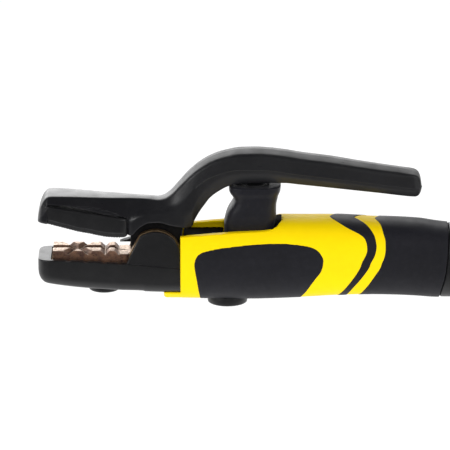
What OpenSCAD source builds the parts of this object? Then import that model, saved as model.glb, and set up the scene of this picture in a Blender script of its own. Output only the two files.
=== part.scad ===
// Electrode holder for manual arc welding, 200 A class: a handle with a fixed lower
// jaw, and a sprung lever that carries the upper jaw.
// Origin: lever pivot axis on the middle plane. +X runs back along the handle
// to the cable, -X to the jaws, +Z up, -Y is the near side. All sizes in millimetres.

/* [Pivot] */
// Diameter of the pivot pin
pivot_d = 6; // [5:0.5:6.5]
// Radius of the insulated ears round the pivot
ear_r = 12.4; // [12:0.1:12.6]
// Width of the lever core between the fork cheeks
core_w = 11.8; // [11.4:0.1:11.8]

/* [Jaws] */
// Width of the lower jaw insulator
jaw_w = 26.6; // [26:0.1:26.8]
// Width of the lower copper insert
insert_w = 16.4; // [15:0.1:16.6]
// Depth of the V grooves in the lower insert
groove_depth = 2.2; // [1.6:0.1:2.4]
// Width of the upper copper insert
upper_insert_w = 12; // [11:0.5:12]

/* [Handle] */
// Full width of the handle at its widest
handle_w = 36; // [35:0.5:37]
// Wall thickness of the handle shell
wall = 2.8; // [2.6:0.1:3]
// Depth of the soft grip inlays
inlay = 1.4; // [1.2:0.1:1.5]
// Squareness of the handle section, 2 is an ellipse
handle_power = 2.6; // [2.4:0.1:2.8]

/* [Cable socket] */
// Bore that takes the stripped and sleeved cable end
socket_d = 9.5; // [9:0.1:10]
// Depth of that bore
socket_len = 40; // [36:1:42]
// Outside diameter of the socket barrel
barrel_d = 20; // [19.5:0.1:20]
// Height of the socket axis
socket_z = -4; // [-4.2:0.1:-3.8]

/* [Spring] */
// Wire diameter of the return spring
wire_d = 2; // [1.8:0.1:2.2]
// Mean radius of the coil
coil_r = 7; // [6.9:0.1:7.1]
// Number of turns
coil_turns = 8; // [6:1:9]

/* [Hidden] */
$fn = 48;
clear = 0.08; // round the metal core, bar and fork
gap = 0.06; // unit of play round the grip inlays

pin_r = pivot_d / 2;
pin_bore_r = pin_r + 0.02;
bush_r = 4.5;
fork_in = core_w / 2 + 1;
fork_out = 10.6;
fork_bottom = -15.4;
bar_bottom = -11;

jaw_screw_x = -25.75;
jaw_screw_r = 2.5;
jaw_cap_r = 7;
lower_insert_bottom = -4.55;
upper_screw_x = -33;
upper_screw_z = 15;
upper_tilt = 11.3; // slope of the upper jaw, in degrees

barrel_front = 62;
barrel_back = 112;
barrel_fit_r = barrel_d / 2 + 0.15;
front_clamp_x = 82;
rear_clamp_x = 100;
clamp_hole_r = 4;

spring_x = 48.5;
guide_stem_r = 2.45;
handle_screw_x = 36;
handle_screw_r = 3;
handle_cap_r = 9.5;
cap_recess_r = handle_cap_r + 0.1;

black = [0.11, 0.11, 0.12];
yellow = [1.0, 0.82, 0.02];
copper = [0.78, 0.48, 0.34];
brass = [0.72, 0.58, 0.32];
steel = [0.62, 0.62, 0.64];
dark_metal = [0.3, 0.3, 0.31];

// ---------- helpers ----------

// Skin over a list of rings of equal length, closed by caps or joined into a loop.
// A strip ring runs out along one side and back along the other.
module skin(rings, loop = false, strip = false) {
    size = len(rings[0]);
    count = len(rings);
    points = [for (ring = rings) each ring];
    sides = [for (i = [0 : count - (loop ? 1 : 2)]) for (j = [0 : size - 1])
        let (here = i * size, there = (i + 1) % count * size, next = (j + 1) % size)
        each [[here + j, there + next, here + next], [here + j, there + j, there + next]]];
    last = (count - 1) * size;
    strip_caps = [for (j = [0 : size / 2 - 2])
        let (back = size - 1 - j)
        each [[j, j + 1, back], [j + 1, back - 1, back],
            [last + j, last + back, last + j + 1],
            [last + j + 1, last + back, last + back - 1]]];
    flat_caps = [[for (j = [0 : size - 1]) j], [for (j = [size - 1 : -1 : 0]) last + j]];
    caps = loop ? [] : strip ? strip_caps : flat_caps;
    polyhedron(points = points, faces = concat(sides, caps), convexity = 10);
}

// A flat outline in X and Z, given thickness along Y.
module slab(y0, y1) {
    translate([0, y1, 0]) rotate([90, 0, 0]) linear_extrude(y1 - y0) children();
}

module cylinder_y(radius, y0, y1) {
    translate([0, y0, 0]) rotate([-90, 0, 0]) cylinder(h = y1 - y0, r = radius);
}

module cylinder_x(radius, x0, x1) {
    translate([x0, 0, 0]) rotate([0, 90, 0]) cylinder(h = x1 - x0, r = radius);
}

// Upright cylinder on the middle plane, standing on z.
module post(x, z, height, radius) {
    translate([x, 0, z]) cylinder(h = height, r = radius);
}

// Box centred on the middle plane; x and z are its lowest values.
module mid_box(x, z, size) {
    translate([x, -size[1] / 2, z]) cube(size);
}

module both_sides() {
    for (side = [0, 1]) mirror([0, side, 0]) children();
}

// Square bar along X with an edge straight down, to cut a V groove.
module groove_cutter(length, half_side) {
    rotate([45, 0, 0]) translate([-length / 2, -half_side, -half_side])
        cube([length, 2 * half_side, 2 * half_side]);
}

// The frame of the upper jaw screw, square to the sloping jaw.
module at_upper_screw() {
    translate([upper_screw_x, 0, upper_screw_z]) rotate([0, -upper_tilt, 0]) children();
}

function signed_pow(value, power) = sign(value) * pow(abs(value), power);

// Point of a squared oval; a power of 2 gives an ellipse.
function oval(angle, half_a, half_b, power) = [half_a * signed_pow(cos(angle), 2 / power),
    half_b * signed_pow(sin(angle), 2 / power)];

function mix(from, to, share) = from + (to - from) * share;

// Corner of a profile blended by a short curve that starts and ends at a share
// of the way to the points before and after it.
function bend(before, corner, after, share, steps = 3) = let (
    from = corner + (before - corner) * share,
    to = corner + (after - corner) * share)
    [for (i = [0 : steps]) let (u = i / steps)
        from * (1 - u) * (1 - u) + corner * 2 * u * (1 - u) + to * u * u];

// A half section of [half width, z] points, top to bottom, set at x on either side.
function near_side(x, half) = [for (point = half) [x, -point[0], point[1]]];
function far_side(x, half) = [for (i = [len(half) - 1 : -1 : 0]) [x, half[i][0], half[i][1]]];
function whole_ring(x, half) = concat(near_side(x, half), far_side(x, half));

// ---------- handle form ----------

// Half width for a 36 mm handle, half height and centre height, each as [x, value].
handle_half_y = [[12, 15.8], [30, 17.4], [45, 18], [75, 18], [110, 17.6], [140, 17.2],
    [160, 16.6]];
handle_half_z = [[12, 20.7], [47, 20.8], [72, 20.3], [92, 19.7], [112, 19], [132, 18.9],
    [146, 18.2], [160, 17.6]];
handle_mid_z = [[12, -3.3], [47, -3.3], [72, -3], [92, -2.5], [112, -2.8], [122, -3.1],
    [132, -3.7], [140, -4.6], [160, -5.6]];

// Edges on the handle surface as [angle, x].
// Angles run from 90 at the top by 180 on the near side to 270 at the bottom.
stripe_front = [[90, 87], [98, 88.5], [112, 92], [126, 97], [135, 102], [143, 104.8],
    [153, 106], [163, 106.2], [171, 105.2], [181, 102.2], [203, 97.2], [223, 93.8],
    [239, 91.8], [270, 90]];
stripe_back = [[90, 99.5], [104, 103.5], [123, 107.2], [142, 109.5], [158, 110.2],
    [172, 109.2], [181, 106.8], [199, 102.2], [219, 98.2], [237, 96.2], [270, 94.5]];
sleeve_front = [[90, 109.6], [108, 112.2], [131, 114], [150, 115.2], [162, 115.2],
    [173, 114.5], [181, 112.5], [191, 109.8], [212, 106.2], [230, 103.8], [270, 101]];
cap_front = [[90, 146.3], [163, 145.6], [224, 142.2], [270, 141.6]];
saddle_top = 153; // angle of the saddle grip's upper ends
saddle_front = [[153, 58], [154, 51], [157, 42], [161, 32], [164, 27], [167, 23.2],
    [171, 21], [176, 19.8], [180, 19.4], [184, 19.7], [201, 20.8], [240, 22.2], [270, 22.6]];
saddle_back = [[153, 64], [154, 68], [156, 72.5], [158, 76.2], [162, 79.8], [169, 82.4],
    [177, 83.8], [184, 83], [196, 79.8], [208, 77.2], [222, 74.8], [239, 72.2], [270, 70.6]];

// Ribs inside the shell that hold the socket barrel, as [front x, back x].
front_rib = [70, 72.5];
rear_rib = [106, 108.5];

ring_points = 40;
ring_angles = [for (j = [0 : ring_points - 1]) 90 + 360 * j / ring_points];

// Point of the handle surface, let in by depth.
function handle_point(x, angle, depth) = let (
    half_y = handle_w / 36 * lookup(x, handle_half_y) - depth,
    half_z = lookup(x, handle_half_z) - depth,
    point = oval(angle, half_y, half_z, handle_power))
    [x, point[0], lookup(x, handle_mid_z) + point[1]];

// X of an edge; the far side mirrors the near side.
function edge_x(edge, angle) = lookup(angle > 270 ? 540 - angle : angle, edge);

function handle_ring(x, depth) = [for (angle = ring_angles) handle_point(x, angle, depth)];
function round_ring(x, radius) = [for (angle = ring_angles)
    [x, radius * cos(angle), socket_z + radius * sin(angle)]];

// Ring along an edge, moved back by shift.
function edge_ring(edge, depth, shift = 0) = [for (angle = ring_angles)
    handle_point(edge_x(edge, angle) + shift, angle, depth)];

// Ring a share of the way between two edges, each first moved inwards.
function between_ring(front, back, share, depth, front_in = 0, back_in = 0) =
    [for (angle = ring_angles) handle_point(
        mix(edge_x(front, angle) + front_in, edge_x(back, angle) - back_in, share),
        angle, depth)];

// Opening in the shell's front wall, clear of the lower jaw insulator.
function front_opening_ring(x) = [for (angle = ring_angles)
    let (point = oval(angle, jaw_w / 2 + 0.2, 11.8, 6))
    [x, point[0], -8 + point[1]]];

// Saddle patch between two depths under the handle surface, grown at its edges.
module saddle(outer_depth, inner_depth, grow) {
    rows = 26;
    columns = 10;
    function row_point(angle, angle_shift, column, depth) = handle_point(
        mix(edge_x(saddle_front, angle) - grow, edge_x(saddle_back, angle) + grow,
            column / columns),
        angle + angle_shift, depth);
    skin([for (i = [0 : rows])
        let (angle = saddle_top + (540 - 2 * saddle_top) * i / rows,
            shift = i <= 1 ? -grow * 3 : i >= rows - 1 ? grow * 3 : 0)
        concat([for (j = [columns : -1 : 0]) row_point(angle, shift, j, outer_depth)],
            [for (j = [0 : columns]) row_point(angle, shift, j, inner_depth)])],
        strip = true);
}

// ---------- lever form ----------

// Four lines along the moulding, from the top edge down to the lower edge.
// Each has a height table [x, z] and a half width table [x, y].
top_z = [[-58.5, 19], [-58, 21.6], [-57.25, 24.2], [-56.25, 26.6], [-55.25, 28.2],
    [-54.25, 29.2], [-53, 29.75], [-51.5, 29.9], [-25, 28.6], [-3, 27.5], [1, 27.1],
    [4, 27.6], [7, 29.3], [12, 34.4], [17, 39.7], [22, 43.9], [27, 47], [32, 49.1],
    [37, 50.4], [42, 51.3], [50, 51.5], [57, 51.1], [65, 50.1], [72, 48.9], [87, 46.9],
    [102, 44.4], [122, 41.5], [128.5, 40.9], [131.2, 39.5], [132.6, 36]];
top_y = [[-58.5, 4], [-58, 6], [-57.25, 7], [-55.25, 8], [-53, 8.3], [-51.5, 8.3],
    [-25, 6], [-3, 3.9], [4, 4.6], [7, 5.4], [12, 6.8], [17, 7.9], [22, 8.3], [87, 8.3],
    [102, 7.9], [122, 7.2], [128.5, 6.6], [131.2, 5.4], [132.6, 3]];
side_z = [[-58.5, 18], [-56, 21], [-53.8, 25.5], [-53.6, 26.9], [-13.6, 20.1],
    [-12.6, 20.5], [-11, 21.6], [-9, 23.1], [-3, 23.9], [3, 24.4], [8, 25.5], [14, 28.5],
    [20, 35], [27, 40.3], [32, 42.3], [42, 44.5], [52, 44.5], [72, 42], [87, 40.1],
    [102, 38.2], [122, 35.3], [131, 34.9], [132.6, 34.6]];
side_y = [[-58.5, 7], [-57.5, 9.5], [-56, 11.2], [-53.8, 12.2], [-53.6, 11], [-13.6, 11],
    [-12.6, 9], [-9, 7.8], [-3, 7.5], [3, 7.8], [8, 8.6], [14, 9.4], [20, 9.7], [52, 9.8],
    [102, 9.2], [122, 8.5], [128.5, 8], [131.2, 6.8], [132.6, 4]];
shoulder_z = [[-58.5, 17.6], [-53.8, 18.5], [-53.6, 26], [-13.6, 19.25], [-12.6, 17],
    [-11, 19.2], [-9, 21], [-3, 21.9], [3, 22.3], [8, 22.5], [14, 22], [18, 23], [22, 30.5],
    [27, 36], [32, 39.4], [42, 41.8], [52, 42], [72, 39.6], [102, 36], [122, 33.2],
    [131, 33], [132.6, 34]];
shoulder_y = [[-58.5, 7], [-57.5, 9.6], [-56, 11.5], [-53.8, 12.5], [-53.6, 10.9],
    [-13.6, 10.9], [-12.6, 12], [3, 12], [8, 11.8], [14, 11.2], [18, 10.2], [22, 9.5],
    [52, 9.5], [102, 9], [122, 8.3], [128.5, 7.8], [131.2, 6.6], [132.6, 3.8]];
lower_z = [[-58.5, 17.2], [-56, 16.9], [-53.8, 16.6], [-53.6, 25.9], [-13.6, 19.1],
    [-12.6, 11], [-11, 10.4], [-9.5, 13], [-6.75, 15.3], [-3, 17], [2, 17.2], [7, 15.9],
    [12, 14.8], [16, 13.9], [17.2, 13.9], [18.2, 14.3], [19.8, 17.8], [22, 21.6],
    [25, 25.9], [27, 28.6], [32, 32.5], [37, 35], [42, 35.9], [52, 36.3], [64, 36.4],
    [72, 35.6], [92, 33.5], [112, 31.4], [127, 29.8], [129.8, 29.6], [131.5, 31],
    [132.6, 33.5]];
lower_y = [[-58.5, 6.5], [-57.5, 9], [-56, 11], [-53.8, 12], [-53.6, 10.8], [-13.6, 10.8],
    [-12.6, 12], [8, 12], [14, 11], [17.2, 9], [22, 7.2], [52, 7], [102, 6.7], [122, 6.2],
    [128.5, 5.8], [131.2, 4.8], [132.6, 3]];

// X of the moulding's sections.
lever_stations = [-58.5, -58, -57.25, -56.25, -55, -53.8, -53.6, -51.5, -38, -25, -13.6,
    -12.6, -11, -9.5, -6.75, -3, 2, 7, 12, 16, 17.2, 18.2, 19.8, 22, 25, 28.5, 32, 37, 42,
    52, 64, 78, 92, 112, 122, 128.5, 130.5, 132, 132.6];

function lever_ring(x) = let (
    top = [lookup(x, top_y), lookup(x, top_z)],
    side = [lookup(x, side_y), lookup(x, side_z)],
    shoulder = [lookup(x, shoulder_y), lookup(x, shoulder_z)],
    lower = [lookup(x, lower_y), lookup(x, lower_z)],
    crown = [0, top[1] + 0.25],
    base = [0, lower[1]],
    half = concat(bend(crown, top, side, 0.18), bend(top, side, shoulder, 0.12, 1),
        bend(side, shoulder, lower, 0.2, 1), bend(shoulder, lower, base, 0.12, 1)))
    concat([[x, 0, crown[1]]], near_side(x, half), [[x, 0, base[1]]], far_side(x, half));

// Rear arm of the lever core as [x, z, radius].
core_arm = [[6, 14, 5.5], [16, 25.5, 4.5], [25, 36, 4], [35, 42, 3.6], [50, 43.8, 3.4],
    [72, 42, 3.2], [112, 36.6, 2.8]];

module arm_disc(stop) {
    translate([stop[0], stop[1]]) circle(r = stop[2], $fn = 32);
}

// Side outline of the metal lever core.
module core_2d() {
    polygon([[-50.5, 18.35], [-20, 12.3], [-14, 11], [-12.4, 9], [-12.3, 4.4], [-7, 0],
        [6, -2], [13, 7], [14, 16], [5, 22], [-8, 21.5], [-20, 17.8], [-50.5, 23.3]]);
    circle(r = 9);
    for (i = [0 : len(core_arm) - 2]) hull() {
        arm_disc(core_arm[i]);
        arm_disc(core_arm[i + 1]);
    }
}

// Room for the core inside the mouldings.
module core_pocket() {
    slab(-core_w / 2 - clear, core_w / 2 + clear) offset(delta = clear) core_2d();
}

// ---------- fixed side ----------

module fork_cheek_2d() {
    intersection() {
        union() {
            circle(r = 13);
            translate([-13, fork_bottom]) square([26, -fork_bottom]);
        }
        polygon([[-13.2, fork_bottom], [-13.2, 0], [-9.9, 6.6], [-5.8, 14], [14, 14],
            [14, fork_bottom]]);
    }
}

module body_bar() {
    color(brass) difference() {
        union() {
            // jaw bar, fork floor and cheeks, beam, socket barrel
            mid_box(-52, bar_bottom, [42, 15, 6.4]);
            mid_box(-13, fork_bottom, [29, 2 * fork_out, 5]);
            both_sides() slab(fork_in, fork_out) fork_cheek_2d();
            mid_box(12, -14, [52, 12, 7]);
            translate([0, 0, socket_z]) cylinder_x(barrel_d / 2, barrel_front, barrel_back);
        }
        cylinder_y(pin_bore_r, -20, 20);
        translate([0, 0, socket_z])
            cylinder_x(socket_d / 2, barrel_back - socket_len, barrel_back + 1);
        for (x = [front_clamp_x, rear_clamp_x]) post(x, socket_z, 20, clamp_hole_r);
        post(jaw_screw_x, -12, 10, jaw_screw_r + 0.05);
        post(handle_screw_x, -15, 10, handle_screw_r + 0.05);
    }
}

module lower_jaw_insert() {
    top = 1.75;
    pad_height = 4.68;
    half_side = groove_depth / sqrt(2);
    color(copper) difference() {
        union() {
            mid_box(-51.25, lower_insert_bottom, [33, insert_w, top - lower_insert_bottom]);
            mid_box(-18.3, lower_insert_bottom, [5.2, insert_w, pad_height]);
            mid_box(-13.2, lower_insert_bottom, [0.95, 13.4, pad_height]);
        }
        // lengthwise groove
        translate([-35, 0, top]) groove_cutter(40, half_side);
        // two slanting grooves that cross
        for (side = [-1, 1]) translate([-38.7, 0, top]) rotate([0, 0, 90 + side * 32])
            groove_cutter(30, half_side);
        // straight grooves across
        for (x = [-25.1, -18.3]) translate([x, 0, top]) rotate([0, 0, 90])
            groove_cutter(30, half_side);
        post(jaw_screw_x, -6, 4.6, jaw_screw_r + 0.05);
    }
}

module lower_jaw_screw() {
    color(steel) difference() {
        union() {
            post(jaw_screw_x, -11.05, 9.2, jaw_screw_r);
            post(jaw_screw_x, -15, 3.95, 4.25);
        }
        post(jaw_screw_x, -15.1, 2.6, 2.3, $fn = 6);
    }
}

// Lower jaw insulator: share of the half width, rim and bottom heights, as [x, value].
tray_share = [[-58.5, 0.62], [-58, 0.74], [-57, 0.86], [-55, 0.955], [-52.5, 1], [16, 1]];
tray_rim = [[-58.5, -2.4], [-57.5, -1.9], [-55, -1.85], [-14, -3.7], [12.5, -5.9], [16, -6]];
tray_bottom = [[-58.5, -9.5], [-58, -11.5], [-57, -13], [-55.5, -14.2], [-54, -14.7],
    [-18, -18.3], [11, -19.3], [16, -19.3]];
tray_stations = [-58.5, -58, -57, -55.5, -54, -52.5, -36, -18, -14, 0, 11, 15.4];

function tray_ring(x) = let (
    half_y = jaw_w / 2 * lookup(x, tray_share),
    rim = lookup(x, tray_rim),
    bottom = lookup(x, tray_bottom))
    whole_ring(x, concat([[half_y - 0.5, rim], [half_y, rim - 0.5]],
        bend([half_y, rim - 0.6], [half_y, bottom], [0, bottom], 0.38, 5)));

// Ear round the pivot, cut off along a sloping front edge.
module ear_2d() {
    intersection() {
        union() {
            circle(r = ear_r);
            translate([-20, -16]) square([33, 16]);
        }
        polygon([[-18.6, -12], [-14.3, -3.7], [-9.4, 6.2], [-5.5, ear_r + 1],
            [20, ear_r + 1], [20, -20], [-18.6, -20]]);
    }
}

module lower_jaw_insulator() {
    color(black) difference() {
        union() {
            skin([for (x = tray_stations) tray_ring(x)]);
            both_sides() slab(fork_out + 0.15, jaw_w / 2 - 0.05) ear_2d();
        }
        // trough for the bar and insert, then room for the fork
        mid_box(-52.1, bar_bottom - clear, [40, 21.6, 20]);
        mid_box(-13.1, fork_bottom - clear, [31, 2 * (fork_out + clear), 40]);
        // pockets for the pin ends
        cylinder_y(5.7, -11.9, 11.9);
        // recess for the cap and hole for the screw head
        post(jaw_screw_x, -30, 14.7, jaw_cap_r + 0.1);
        post(jaw_screw_x, -17, 8, 5);
    }
}

module lower_screw_cap() {
    color(black) translate([jaw_screw_x, 0, -15.4]) mirror([0, 0, 1]) rotate_extrude()
        polygon([[0, 0], [jaw_cap_r, 0], [jaw_cap_r, 3.6], [6.6, 4.4], [5.6, 4.85],
            [4.2, 5], [0, 5]]);
}

// Pin with a clip groove near each end.
module pivot_pin() {
    color(steel) difference() {
        cylinder_y(pin_r - 0.03, -11.6, 11.6);
        both_sides() difference() {
            cylinder_y(pin_r + 1, 10.7, 11.4);
            cylinder_y(pin_r - 0.7, -20, 20);
        }
    }
}

module pivot_clips() {
    color(steel) both_sides() difference() {
        cylinder_y(5.3, 10.76, 11.34);
        cylinder_y(pin_r - 0.65, 10, 12);
        translate([-1.9, 10, -7]) cube([3.8, 2, 7]);
    }
}

module pivot_washers() {
    color(steel) both_sides() difference() {
        cylinder_y(8, core_w / 2 + 0.05, fork_in - 0.05);
        cylinder_y(pin_r + 0.1, 0, 20);
    }
}

module spring_seat() {
    color(steel) translate([spring_x, 0, -6.95]) rotate_extrude()
        polygon([[0, 0], [9.6, 0], [9.6, 1.4], [5.4, 1.4], [5.4, 4.6], [4.6, 5.4], [0, 5.4]]);
}

// Coil with one closed turn at each end and open turns between.
module return_spring() {
    bottom = -4.5;
    top = 33.6;
    turn_steps = 20;
    wire_sides = 8;
    steps = coil_turns * turn_steps;
    closed_pitch = wire_d + 0.1;
    open_turns = coil_turns - 2;
    open_pitch = (top - bottom - 2 * closed_pitch) / open_turns;
    function height(turn) = bottom + (turn < 1 ? turn * closed_pitch
        : turn > coil_turns - 1
        ? closed_pitch + open_turns * open_pitch + (turn - coil_turns + 1) * closed_pitch
        : closed_pitch + (turn - 1) * open_pitch);
    color(steel) translate([spring_x, 0, 0]) skin([for (i = [0 : steps])
        let (angle = -360 * i / turn_steps, z = height(i / steps * coil_turns))
        [for (j = [0 : wire_sides - 1])
            let (wire_angle = 360 * j / wire_sides,
                radius = coil_r + wire_d / 2 * cos(wire_angle))
            [radius * cos(angle), radius * sin(angle), z + wire_d / 2 * sin(wire_angle)]]]);
}

// Boot sections as [z, front x, back x], and half width as [z, y].
boot_sections = [[-5.2, 35.4, 59], [8, 34.8, 59.3], [14.4, 34.3, 59.5], [18, 35, 60.4],
    [21.7, 36.3, 60.3], [24.8, 37.8, 60.4], [26.9, 39, 60.8], [28.5, 38.4, 61.2],
    [30.5, 37.3, 61.9], [32.6, 37, 62.4], [34.6, 37, 62.6]];
boot_half_y = [[-5.2, 10.1], [14.4, 10.4], [21.7, 10.8], [26.9, 10.4], [30.5, 11],
    [34.6, 11.2]];

function boot_ring(section, inset) = let (
    z = section[0],
    mid_x = (section[1] + section[2]) / 2,
    half_x = (section[2] - section[1]) / 2,
    half_y = lookup(z, boot_half_y))
    [for (j = [0 : 35]) let (point = oval(-10 * j, half_x - inset, half_y - inset, 3))
        [mid_x + point[0], point[1], z]];

module spring_boot() {
    color(black) skin(concat([for (section = boot_sections) boot_ring(section, 0)],
        [for (i = [len(boot_sections) - 1 : -1 : 0]) boot_ring(boot_sections[i], 1.6)]),
        loop = true);
}

module inner_cover() {
    color(black) difference() {
        mid_box(14.2, -5.8, [19.6, 22.4, 14.3]);
        mid_box(13, -8, [22, 18.8, 14.6]);
    }
}

// Side outline of the opening in the top of the handle, under the lever.
module top_cut_2d() {
    polygon([[0, 9.1], [26.3, 11.55], [40.7, 12.65], [56.4, 13.5], [59.9, 14.6],
        [62.1, 15.9], [63.3, 17.6], [63.6, 40], [0, 40]]);
}

// Shell wall: outside from front to rear, then inside back to the front opening.
module shell_wall() {
    outside = concat(
        [handle_ring(12.5, 0.6)],
        [for (x = [13.1, 30, 47, 62, 75]) handle_ring(x, 0)],
        [edge_ring(stripe_front, 0), edge_ring(stripe_front, inlay),
            between_ring(stripe_front, stripe_back, 0.5, inlay),
            edge_ring(stripe_back, inlay), edge_ring(stripe_back, 0),
            edge_ring(sleeve_front, 0), edge_ring(sleeve_front, inlay)],
        [for (share = [0.2, 0.4, 0.6, 0.8])
            between_ring(sleeve_front, cap_front, share, inlay)],
        [handle_ring(141, inlay)]);
    inside = concat(
        [for (x = [141, 132, 122, 112, rear_rib[1]]) handle_ring(x, wall)],
        [for (x = [rear_rib[1], rear_rib[0]]) round_ring(x, barrel_fit_r)],
        [for (x = [rear_rib[0], 92, 85, front_rib[1]]) handle_ring(x, wall)],
        [for (x = [front_rib[1], front_rib[0]]) round_ring(x, barrel_fit_r)],
        [for (x = [front_rib[0], 47, 30, 16]) handle_ring(x, wall)],
        [for (x = [15.5, 12.5]) front_opening_ring(x)]);
    skin(concat(outside, inside), loop = true);
}

// Lip under the front of the shell; its sections are [x, depth].
module shell_lip() {
    skin([for (section = [[4.2, 1.3], [6, 0.1], [14.5, 0.1]])
        let (x = section[0])
        concat([for (angle = [232 : 4 : 308])
            handle_point(12.5, angle, section[1]) + [x - 12.5, 0, 0]],
            [[x, 8.4, -19.75], [x, -8.4, -19.75]])]);
}

module handle_shell() {
    color(yellow) difference() {
        union() {
            shell_wall();
            shell_lip();
            post(handle_screw_x, -22.6, 8.5, 11);
        }
        slab(-30, 30) top_cut_2d();
        mid_box(11.4, 0, [4.7, 22.6, 20]);
        mid_box(16, 0, [43.8, 21.2, 20]);
        saddle(-0.5, inlay, 0);
        // cap recess, screw head recess and screw hole
        post(handle_screw_x, -30, 8.1, cap_recess_r);
        post(handle_screw_x, -25, 6.6, 5.3);
        post(handle_screw_x, -25, 20, handle_screw_r + 0.1);
    }
}

module saddle_grip() {
    color(black) difference() {
        saddle(0, inlay - gap * 3, -gap * 7);
        post(handle_screw_x, -30, 12, cap_recess_r);
    }
}

module stripe_band() {
    edge_gap = gap * 5;
    function band_ring(share, depth) =
        between_ring(stripe_front, stripe_back, share, depth, edge_gap, edge_gap);
    color(black) skin(concat([for (share = [0, 0.5, 1]) band_ring(share, 0)],
        [for (share = [1, 0.5, 0]) band_ring(share, inlay - gap)]), loop = true);
}

module rear_grip_sleeve() {
    steps = 5;
    function sleeve_ring(step, depth) =
        between_ring(sleeve_front, cap_front, step / steps, depth, gap);
    color(black) skin(concat(
        [for (i = [0 : steps]) sleeve_ring(i, i == steps ? 0.3 : 0)],
        [for (i = [steps : -1 : 0]) sleeve_ring(i, inlay - (i >= steps - 1 ? 0.22 : gap))]),
        loop = true);
}

module rear_cap() {
    color(black) skin([
        edge_ring(cap_front, 0.3, 0.5), handle_ring(147.5, 0), handle_ring(152, 0),
        handle_ring(156, 0.5), handle_ring(158.8, 1.7), handle_ring(160, 3.8),
        round_ring(160, 8.4), round_ring(156.6, 8.4),
        handle_ring(156.4, 4.8), handle_ring(135, 4.8), handle_ring(135, wall + 0.4),
        edge_ring(cap_front, wall + 0.4, 0.5)], loop = true);
}

module cable_grommet() {
    color(black) translate([0, 0, socket_z]) rotate([0, 90, 0]) rotate_extrude()
        polygon([[6.2, 155.2], [9.6, 155.2], [9.6, 156.4], [8.25, 156.5], [8.25, 160.1],
            [9.6, 160.2], [9, 162], [7.2, 163], [6.2, 163]]);
}

module handle_screw() {
    color(steel) difference() {
        union() {
            post(handle_screw_x, -18.45, 10.5, handle_screw_r);
            post(handle_screw_x, -19.9, 1.45, 5);
        }
        post(handle_screw_x, -20, 2, 1.9, $fn = 6);
    }
}

module handle_screw_cap() {
    color(black) translate([handle_screw_x, 0, -21.98]) mirror([0, 0, 1]) rotate_extrude()
        polygon([[0, 0], [handle_cap_r, 0], [handle_cap_r, 3.4], [9.1, 4.4], [8.2, 5.0],
            [6.4, 5.25], [0, 5.3]]);
}

// ---------- lever side ----------

module lever_core() {
    color(dark_metal) difference() {
        union() {
            slab(-core_w / 2, core_w / 2) core_2d();
            // heel nose over the flat rear pad of the lower insert
            slab(-2, 2) polygon([[-17.8, 4.75], [-10, 4.75], [-10, 7.2], [-12.6, 6.4]]);
        }
        cylinder_y(bush_r + 0.05, -20, 20);
        at_upper_screw() post(0, -2, 8, 2.5);
        post(spring_x, 35, 6.5, guide_stem_r + 0.05);
    }
}

module pivot_bush() {
    color(brass) difference() {
        cylinder_y(bush_r, -core_w / 2, core_w / 2);
        cylinder_y(pin_bore_r, -20, 20);
    }
}

module upper_jaw_insert() {
    front = -50.2;
    front_z = 14.3;
    half_w = upper_insert_w / 2;
    color(copper) difference() {
        slab(-half_w, half_w)
            polygon([[front, front_z], [-20.2, 8.3], [-20.2, 12.2], [front, 18.2]]);
        // grooves across the sloping face
        for (x = [-46 : 4 : -24]) translate([x, 0, front_z - (x - front) * 0.2])
            rotate([0, upper_tilt, 0]) rotate([0, 0, 90]) groove_cutter(30, 0.6);
        at_upper_screw() post(0, -10, 12, 2.6);
        at_upper_screw() post(0, -10, 8, 4.6);
    }
}

module upper_jaw_screw() {
    color(steel) at_upper_screw() difference() {
        union() {
            post(0, -2.2, 6.4, 2.45);
            post(0, -3.1, 1, 4.5);
        }
        post(0, -3.2, 1.6, 1.5, $fn = 6);
    }
}

module lever_moulding() {
    color(black) difference() {
        skin([for (x = lever_stations) lever_ring(x)]);
        core_pocket();
        // room for the heel nose and the spring guide stem
        slab(-2.1, 2.1) polygon([[-17.9, 4.6], [-9, 4.6], [-9, 8], [-12.7, 6.6]]);
        post(spring_x, 30, 10.6, guide_stem_r + 0.15);
    }
}

// Upper jaw guard: half width as [x, y] and bottom height as [x, z].
guard_half_y = [[-53.5, 12.4], [-17, 12.4], [-15, 11.9], [-13.9, 10.6], [-13.5, 9.4]];
guard_bottom = [[-53.5, 16.7], [-49, 15.5], [-43, 13.9], [-38, 12.6], [-28, 10.6],
    [-23, 9.8], [-18, 9.6], [-13.5, 10.1]];
guard_stations = [-53.5, -49, -43, -38, -28, -23, -18, -17, -15, -14, -13.65];

function guard_ring(x) = let (
    half_y = lookup(x, guard_half_y),
    top = 25.85 - 0.17 * (x + 53.6),
    bottom = lookup(x, guard_bottom))
    whole_ring(x, [[half_y - 0.7, top], [half_y, top - 0.6], [half_y, bottom + 2],
        [half_y - 0.5, bottom + 1.7], [half_y - 0.9, bottom]]);

module upper_jaw_guard() {
    half_slot = upper_insert_w / 2 + 0.1;
    color(black) difference() {
        skin([for (x = guard_stations) guard_ring(x)]);
        core_pocket();
        slab(-half_slot, half_slot)
            polygon([[-50.4, 5], [-13, 5], [-13, 12.3], [-20, 12.4], [-50.4, 18.5]]);
    }
}

module spring_guide() {
    color(steel) union() {
        post(spring_x, 34.7, 0.72, 8.4);
        post(spring_x, 30.2, 4.6, 5.3);
        post(spring_x, 35.2, 6.1, guide_stem_r);
    }
}

// ---------- cable clamping ----------

module clamp_screw(x) {
    color(steel) translate([x, 0, socket_z + socket_d / 2 + 0.3]) difference() {
        cylinder(h = 8, r = clamp_hole_r - 0.05);
        post(0, 4.5, 4, 2.3, $fn = 6);
    }
}

module cable_clamp_screw_front() {
    clamp_screw(front_clamp_x);
}

module cable_clamp_screw_rear() {
    clamp_screw(rear_clamp_x);
}

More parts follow.
